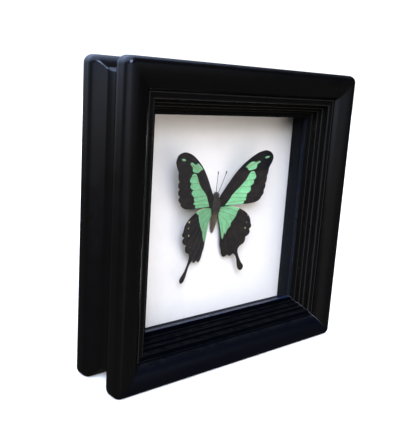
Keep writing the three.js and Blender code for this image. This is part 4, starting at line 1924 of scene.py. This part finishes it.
@dataclass
class BodyPiece:
    """Head, eyes, thorax, abdomen and their hair."""

    pose: Pose = field(default_factory=Pose)
    thorax: tuple[float, ...] = (3.6, 2.5, 6.4, 5.6)
    head: tuple[float, ...] = (2.1, 1.7, 1.75, 13.2)
    eye: tuple[float, ...] = (0.95, 1.05, 1.1, 1.5, 13.5)
    abdomen_length: float = 16.1
    abdomen_radius: float = 2.15
    abdomen_start: float = 2.0
    abdomen_depth: float = 0.95
    abdomen_taper: Point = (0.03, 0.62)
    abdomen_fullness: float = 0.75
    abdomen_end: float = 0.12
    abdomen_tan: float = 0.55
    eye_tan: float = 0.25
    folds: float = 7.0
    fold_swell: float = 0.05
    fold_groove: Triple = (0.09, 0.02, 0.1)
    droop: float = 0.9
    seed: int = 7
    thorax_hair: Tuft = Tuft(2600, 1.5, 0.12)
    head_hair: Tuft = Tuft(866, 0.9, 0.1)
    abdomen_hair: Tuft = Tuft(1300, 0.7, 0.6)

    @staticmethod
    def ball(radii: Sequence[float], centre: Vector, across: int, rough: float) -> Shape:
        """An egg-shaped lump with an uneven surface.

        Args:
            radii: Its radii along X, Y and Z.
            centre: Its middle.
            across: How many sides it has round it.
            rough: How uneven it is, in millimetres.

        Returns:
            Its points and faces.
        """
        rings = across // 2
        points = [Vector((0, 0, 1))]
        for ring in range(1, rings):
            polar = math.pi * ring / rings
            out, up = math.sin(polar), math.cos(polar)
            for side in range(across):
                angle = 2 * math.pi * side / across
                points.append(Vector((out * math.cos(angle), out * math.sin(angle), up)))
        points.append(Vector((0, 0, -1)))
        faces = [[0, 1 + side, 1 + (side + 1) % across] for side in range(across)]
        for first in range(1, 1 + (rings - 2) * across, across):
            for side in range(across):
                after = (side + 1) % across
                faces.append([first + side, first + across + side, first + across + after, first + after])
        last, end = 1 + (rings - 2) * across, len(points) - 1
        faces += [[end, last + (side + 1) % across, last + side] for side in range(across)]
        shaped = []
        for point in points:
            swell = 1 + rough * noise.noise(point * 3.0 + centre) / max(radii)
            shaped.append(Vector([p * r for p, r in zip(point, radii)]) * swell + centre)
        return shaped, faces

    def abdomen(self, sides: int = 28, rings: int = 60) -> Shape:
        """The ringed abdomen, which sinks a little towards the board.

        Args:
            sides: How many sides it has round it.
            rings: How many rings along it.

        Returns:
            Its points and faces.
        """
        points = []
        start, rise = self.abdomen_taper
        groove, place, width = self.fold_groove
        for ring in range(rings + 1):
            along = ring / rings
            turn = min(0.5, start + rise * along)
            belly = math.sin(math.pi * turn) ** self.abdomen_fullness if ring else self.abdomen_end
            fold = (along * self.folds) % 1.0
            step = 1.0 + self.fold_swell * fold - groove * math.exp(-((fold - place) / width) ** 2)
            radius = self.abdomen_radius * belly * step
            z = -self.abdomen_length * (1 - along)
            sag = self.droop * (z / self.abdomen_length) ** 2
            for side in range(sides):
                angle = 2 * math.pi * side / sides
                x, y = radius * math.cos(angle), self.abdomen_depth * radius * math.sin(angle) + sag
                points.append(Vector((x, y, z + self.abdomen_start)))
        return points, tube_faces(sides, rings)

    def hair(self, made: InsectMesh, shape: Shape, tuft: Tuft) -> None:
        """Adds fine tapering hairs that lean back over a lump.

        Args:
            made: What the hairs are added to.
            shape: The lump's points and faces.
            tuft: Its hair.
        """
        rng = random.Random(self.seed + tuft.count)
        points, faces = shape
        centre = sum(points, Vector()) / len(points)
        strips = [[2, 1, 0]]
        for corner in range(3):
            after = (corner + 1) % 3
            strips += [[corner, after, 3 + after, 3 + corner], [3 + corner, 3 + after, 6]]
        for _ in range(tuft.count):
            face = faces[rng.randrange(len(faces))]
            weights = [rng.random() for _ in face]
            root = sum((points[i] * w for i, w in zip(face, weights)), Vector()) / sum(weights)
            out = (points[face[1]] - points[face[0]]).cross(points[face[2]] - points[face[0]])
            if out.length < 1e-9:
                continue
            out.normalize()
            if out.dot(root - centre) < 0:
                out.negate()
            ranges = (tuft.lean_across, tuft.lean_forward, tuft.lean_down)
            lean = Vector([rng.uniform(*span) for span in ranges])
            way = (out * tuft.stand + lean * tuft.lean).normalized()
            side = way.orthogonal().normalized()
            other = way.cross(side)
            long = tuft.length * rng.uniform(*tuft.lengths)
            hang = Vector((0, 0, -tuft.hang))
            corners: list[Vector] = []
            for share, thick in zip((0.0, tuft.bend_at), tuft.thickness):
                middle = root - out * tuft.root_sunk + way * long * share + hang * share ** 2 * long
                for corner in range(3):
                    angle = 2 * math.pi * corner / 3
                    corners.append(middle + (side * math.cos(angle) + other * math.sin(angle)) * thick)
            corners.append(root + way * long + hang * long)
            made.add(corners, strips, max(0.0, tuft.tan + rng.uniform(*tuft.shades)))

    def build(self) -> list[bpy.types.Object]:
        """Builds and dresses the body and its hair.

        Returns:
            The body, the eyes and the hair.
        """
        *thorax_radii, thorax_up = self.thorax
        *head_radii, head_up = self.head
        *eye_radii, eye_out, eye_up = self.eye
        thorax = self.ball(thorax_radii, Vector((0, 0, thorax_up)), across=40, rough=0.35)
        head = self.ball(head_radii, Vector((0, 0.2, head_up)), across=28, rough=0.12)
        abdomen = self.abdomen()
        body, eyes, hair = InsectMesh(), InsectMesh(), InsectMesh()
        for shape, shade, tuft in (
            (thorax, 0.0, self.thorax_hair),
            (head, 0.0, self.head_hair),
            (abdomen, self.abdomen_tan, self.abdomen_hair),
        ):
            body.add(*shape, shade)
            self.hair(hair, shape, tuft)
        for side in (-1, 1):
            place = Vector((side * eye_out, 0, eye_up))
            eyes.add(*self.ball(eye_radii, place, across=24, rough=0.0), self.eye_tan)
        glaze = InsectSkin("eye_glaze", colour=(0.012, 0.009, 0.007), roughness=0.3)
        return [
            body.piece("butterfly_body", self.pose, InsectSkin("body_skin"), ["body"]),
            eyes.piece("butterfly_eyes", self.pose, glaze),
            hair.piece("butterfly_hair", self.pose, InsectSkin("body_hair", roughness=0.7), hairs=True),
        ]


@dataclass
class Antenna:
    """A ringed feeler with a club at its tip."""

    hand: Hand
    pose: Pose = field(default_factory=Pose)
    root: Triple = (0.7, -0.4, 14.2)
    places: tuple[Point, Point, Point] = ((-1.1, 17.2), (-2.2, 23.5), (-3.3, 30.6))
    reach_left: Triple = (1.4, 2.4, 3.3)
    reach_right: Triple = (1.7, 3.1, 4.6)
    tan: float = 0.15
    joint_length: float = 0.38
    joint_depth: float = 0.14
    end_length: float = 0.05
    end_share: float = 0.3
    radius: float = 0.19
    club_radius: float = 0.42
    club_length: float = 2.2
    rings: int = 150
    sides: int = 10

    def build(self) -> bpy.types.Object:
        """Builds and dresses the feeler.

        Returns:
            The feeler.
        """
        reach = self.reach_left if self.hand is Hand.LEFT else self.reach_right
        coarse = [self.root, *((out, *place) for out, place in zip(reach, self.places))]
        line = [Vector(p) for p in through(coarse, self.rings // 3)]
        lengths = [0.0]
        for here, there in zip(line, line[1:]):
            lengths.append(lengths[-1] + (there - here).length)
        points: list[Vector] = []
        for index, (middle, along) in enumerate(zip(line, lengths)):
            before, after = line[max(index - 1, 0)], line[min(index + 1, len(line) - 1)]
            turn = Vector((0, 0, 1)).rotation_difference(after - before)
            radius = self.radius_at(along, lengths[-1] - along)
            points += [self.ring_point(middle, turn, radius, side) for side in range(self.sides)]
        feeler = InsectMesh()
        feeler.add(points, tube_faces(self.sides, len(line) - 1), self.tan)
        finish = InsectSkin("antenna_skin", colour=(0.03, 0.024, 0.02), roughness=0.45)
        node = f"antenna_{self.hand.label}"
        return feeler.piece(f"butterfly_{node}", self.pose, finish, [node])

    def radius_at(self, along: float, from_tip: float) -> float:
        """How thick the feeler is at one place.

        Args:
            along: How far the place is from the root.
            from_tip: How far it is from the tip.

        Returns:
            The radius, with the joints' narrowing and the club's swelling.
        """
        wave = 0.5 + 0.5 * math.cos(2 * math.pi * along / self.joint_length)
        half = self.club_length / 2
        club = max(0.0, 1 - ((from_tip - half) / half) ** 2) ** 0.5
        radius = (self.radius + (self.club_radius - self.radius) * club) * (1.0 - self.joint_depth * wave)
        return radius * self.end_share if from_tip < self.end_length else radius

    def ring_point(self, middle: Vector, turn: Quaternion, radius: float, side: int) -> Vector:
        """One point round the feeler.

        Args:
            middle: The ring's middle.
            turn: The turn from upright to the feeler's direction.
            radius: The ring's radius.
            side: Which point of the ring.

        Returns:
            The point, on this hand's side.
        """
        angle = 2 * math.pi * side / self.sides
        local = middle + turn @ Vector((math.cos(angle), math.sin(angle), 0)) * radius
        return Vector((self.hand.value * local.x, local.y, local.z))


@dataclass
class Butterfly:
    """The spread specimen."""

    hindwing_behind: float = 0.75
    # Per wing, in the order of wings(): how its green is scaled as painted light, and how far its tip is
    # darkened as painted shade.
    wing_painted_light: tuple[float, float, float, float] = (0.87, 0.78, 1.13, 0.89)
    tip_painted_shades: tuple[float, float, float, float] = (1.0, 1.0, 0.35, 1.0)

    def wings(self) -> list[Wing]:
        """The four wings, drawn but not yet built.

        Returns:
            A forewing and a hindwing for each side.
        """
        wings = []
        for hand in Hand:
            left = hand is Hand.LEFT
            band, blob = (BAND_LEFT, BLOB_LEFT) if left else (BAND_RIGHT, BLOB_RIGHT)
            wings.append(Wing(
                f"butterfly_forewing_{hand.label}", f"forewing_{hand.label}", hand,
                FOREWING_OUTLINE, [band, blob, TIP_SPOT], FOREWING_VEINS, flecks=FOREWING_FLECKS,
            ))
            wings.append(Wing(
                f"butterfly_hindwing_{hand.label}", f"hindwing_{hand.label}", hand,
                HINDWING_OUTLINE, [GREEN_LEFT if left else GREEN_RIGHT], HINDWING_VEINS,
                flecks=MARGIN_FLECKS + (FLECKS_LEFT if left else FLECKS_RIGHT),
                pale_line=HINDWING_PALE_LINE, behind=self.hindwing_behind,
            ))
        return wings

    def build(self) -> list[bpy.types.Object]:
        """Builds and dresses the whole specimen.

        Returns:
            Its pieces.
        """
        pieces = [
            # Each wing's scales carry its painted light and its painted shade at the tip.
            wing.build(WingScales(f"{wing.name}_scales", painted_light=painted_light, tip=tip))
            for wing, painted_light, tip in zip(self.wings(), self.wing_painted_light, self.tip_painted_shades)
        ]
        pieces += BodyPiece().build()
        pieces += [Antenna(hand).build() for hand in Hand]
        return pieces


# ------------------------------------------------------------------------------ studio


@dataclass
class Studio:
    """Camera, floor and soft light."""

    eye: Triple = (-290.63, -308.44, 187.35)
    right: Triple = (0.75345, -0.65426, 0.06526)
    down: Triple = (-0.09209, -0.20328, -0.97478)
    ahead: Triple = (0.65103, 0.72844, -0.21341)
    lens: float = 51.03
    key_from: Triple = (-0.5, -0.62, 0.66)
    key_energy: float = 4.8
    key_angle: float = 62.0
    key_colour: Colour = (0.98, 0.985, 1.01)
    floor_radius: float = 6.0
    floor_sides: int = 96
    floor_colour: Colour = (0.93, 0.93, 0.93)
    floor_glow: float = 0.12
    paper_level: float = 1.2
    fill_across: Point = (-0.7, 0.6)
    fill_sides: Point = (0.05, 1.75)
    fill_rise: Point = (0.0, 0.5)
    fill_high: float = 0.55
    fill_tint_rise: Point = (-0.4, 0.4)
    fill_tints: tuple[Colour, Colour] = ((1.0, 0.9, 0.84), (0.92, 0.95, 1.0))
    room_low: float = 0.05
    room_rise: Point = (-0.12, 0.25)
    room_high: float = 0.045
    ahead_span: Point = (-0.97, -0.78)
    ahead_level: float = 0.14
    horizon_rise: Point = (-0.19, 0.04)
    horizon_fall: Point = (0.05, 0.28)
    horizon_across: Point = (-0.65, 0.0)
    horizon_front: Point = (0.85, 0.2)
    horizon_back: Point = (-0.4, 0.35)
    horizon_behind: float = 0.34
    corner_turn: Point = (0.55, 1.0)
    corner_level: float = 0.4
    window: Triple = (-0.483, -0.599, 0.638)
    window_edge: Point = (0.93, 0.965)
    window_level: float = 8.0
    skylight: Triple = (-0.22, 0.5, 0.84)
    skylight_edge: Point = (0.45, 0.97)
    skylight_level: float = 1.8
    door_side: Point = (1.04, 1.07)
    door_sill: Point = (-0.135, -0.115)
    door_level: float = 0.12
    tint_rise: Point = (-0.13, 0.14)
    tints: tuple[Colour, Colour] = ((1.0, 0.94, 0.86), (0.72, 0.92, 1.45))

    def camera(self) -> None:
        """Sets the camera in front, to the left and a little above."""
        data = bpy.data.cameras.new("camera")
        data.lens = self.lens
        data.clip_start = 0.01
        camera = bpy.data.objects.new("camera", data)
        bpy.context.scene.collection.objects.link(camera)
        axes = Matrix((self.right, [-v for v in self.down], [-v for v in self.ahead])).transposed()
        camera.matrix_world = Matrix.Translation(Vector(self.eye) * MM) @ axes.to_4x4()
        bpy.context.scene.camera = camera

    def floor(self) -> bpy.types.Object:
        """Lays a wide round floor.

        Returns:
            The floor.
        """
        turns = [2 * math.pi * side / self.floor_sides for side in range(self.floor_sides)]
        rim = [Vector((math.cos(turn), math.sin(turn), 0)) * self.floor_radius / MM for turn in turns]
        mesh = mesh_from("floor", rim, [list(range(self.floor_sides))])
        floor = bpy.data.objects.new("floor", mesh)
        bpy.context.scene.collection.objects.link(floor)
        mesh.materials.append(StageFinish("floor_paper", self.floor_colour, self.floor_glow).material())
        floor.visible_glossy = False
        floor.visible_diffuse = False
        floor.visible_transmission = False
        return floor

    def key(self) -> None:
        """Hangs the soft key light in front and above."""
        data = bpy.data.lights.new("key", "SUN")
        data.energy = self.key_energy
        data.angle = math.radians(self.key_angle)
        data.color = self.key_colour
        lamp = bpy.data.objects.new("key", data)
        lamp.rotation_mode = "QUATERNION"
        lamp.rotation_quaternion = Vector(self.key_from).to_track_quat("Z", "Y")
        lamp.visible_glossy = False
        lamp.visible_transmission = False
        bpy.context.scene.collection.objects.link(lamp)

    def reflected_room(self, sheet: NodeSheet, way: bpy.types.NodeSocket) -> bpy.types.Node:
        """The dim room that shows in the lacquer and the glass.

        Args:
            sheet: The world's nodes.
            way: The direction looked in.

        Returns:
            The room's background node.
        """
        across, back, up = sheet.split(way)
        ahead = sheet.ramp(back, *self.ahead_span, self.ahead_level, 0.0)
        base = sheet.ramp(up, *self.room_rise, sheet.math("ADD", self.room_low, ahead), self.room_high)
        front = sheet.ramp(across, *self.horizon_across, *self.horizon_front)
        bright = sheet.ramp(back, *self.horizon_back, front, self.horizon_behind)
        turn = sheet.math("DIVIDE", across, sheet.times(back, -1.0))
        bright = sheet.times(bright, sheet.ramp(turn, *self.corner_turn, 1.0, self.corner_level))
        rising, falling = sheet.ramp(up, *self.horizon_rise), sheet.ramp(up, *self.horizon_fall, 1.0, 0.0)
        band = sheet.times(rising, falling, bright)
        sky = self.opening(sheet, way, self.skylight, self.skylight_edge, self.skylight_level)
        light = sheet.math("ADD", sheet.math("ADD", base, sky), band)
        door = sheet.times(sheet.ramp(turn, *self.door_side), sheet.ramp(up, *self.door_sill))
        door = sheet.times(door, sheet.math("LESS_THAN", back, 0.0))
        window = self.opening(sheet, way, self.window, self.window_edge, self.window_level)
        dimmed = sheet.times(light, sheet.ramp(door, 0.0, 1.0, 1.0, self.door_level))
        tint = sheet.mix(sheet.ramp(up, *self.tint_rise), *self.tints)
        inputs = {"Color": tint, "Strength": sheet.math("ADD", dimmed, window)}
        return sheet.add("ShaderNodeBackground", inputs)

    @staticmethod
    def opening(
        sheet: NodeSheet, way: bpy.types.NodeSocket, toward: Triple, edge: Point, level: float
    ) -> bpy.types.NodeSocket:
        """A soft-edged patch of light in one direction.

        Args:
            sheet: The world's nodes.
            way: The direction looked in.
            toward: The direction of the patch.
            edge: How closely the two agree where it starts and where it is full.
            level: How bright it is.

        Returns:
            The light's socket.
        """
        near = sheet.add("ShaderNodeVectorMath", {0: way, 1: toward}, operation="DOT_PRODUCT")
        return sheet.ramp(near.outputs["Value"], *edge, 0.0, level)

    def world(self) -> None:
        """Surrounds the set: white to look at, soft to light with, dim in reflections."""
        world = bpy.data.worlds.new("room")
        world.use_nodes = True
        world.node_tree.nodes.clear()
        sheet = NodeSheet(world.node_tree)
        way = sheet.add("ShaderNodeTexCoord").outputs["Generated"]
        across, _, up = sheet.split(way)
        low = sheet.ramp(across, *self.fill_across, *self.fill_sides)
        tint = sheet.mix(sheet.ramp(up, *self.fill_tint_rise), *self.fill_tints)
        fill = {"Color": tint, "Strength": sheet.ramp(up, *self.fill_rise, low, self.fill_high)}
        soft = sheet.add("ShaderNodeBackground", fill)
        room = self.reflected_room(sheet, way)
        paper = sheet.add("ShaderNodeBackground", {"Color": (1.0, 1.0, 1.0), "Strength": self.paper_level})
        path = sheet.add("ShaderNodeLightPath").outputs
        shown = room
        for ray, seen in (("Is Diffuse Ray", soft), ("Is Camera Ray", paper)):
            inputs = {0: path[ray], 1: shown.outputs[0], 2: seen.outputs[0]}
            shown = sheet.add("ShaderNodeMixShader", inputs)
        sheet.add("ShaderNodeOutputWorld", {"Surface": shown.outputs[0]})
        bpy.context.scene.world = world

    def build(self) -> None:
        """Sets the whole stage."""
        self.camera()
        self.floor()
        self.key()
        self.world()
        bpy.context.scene.view_settings.view_transform = "Standard"


# ------------------------------------------------------------------------------ making it


def report(label: str, pieces: Sequence[bpy.types.Object]) -> None:
    """Logs what a class has built.

    Args:
        label: The sub-assembly's name.
        pieces: Its pieces.
    """
    for piece in pieces:
        LOG.info("%s: %s, %d faces", label, piece.name, len(piece.data.polygons))


def main() -> None:
    """Loads the frame, builds every piece around it and logs each piece's face count."""
    logging.basicConfig(level=logging.INFO, format="%(message)s")
    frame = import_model()
    nodes = frame["nodes"]
    Studio().build()
    report("front moulding", FrontMoulding().build())
    report("rear moulding", RearMoulding().build())
    report("glazing", Glazing().dress(nodes))
    report("back", BackFittings().dress(nodes))
    report("butterfly", Butterfly().build())


if __name__ == "__main__":
    main()
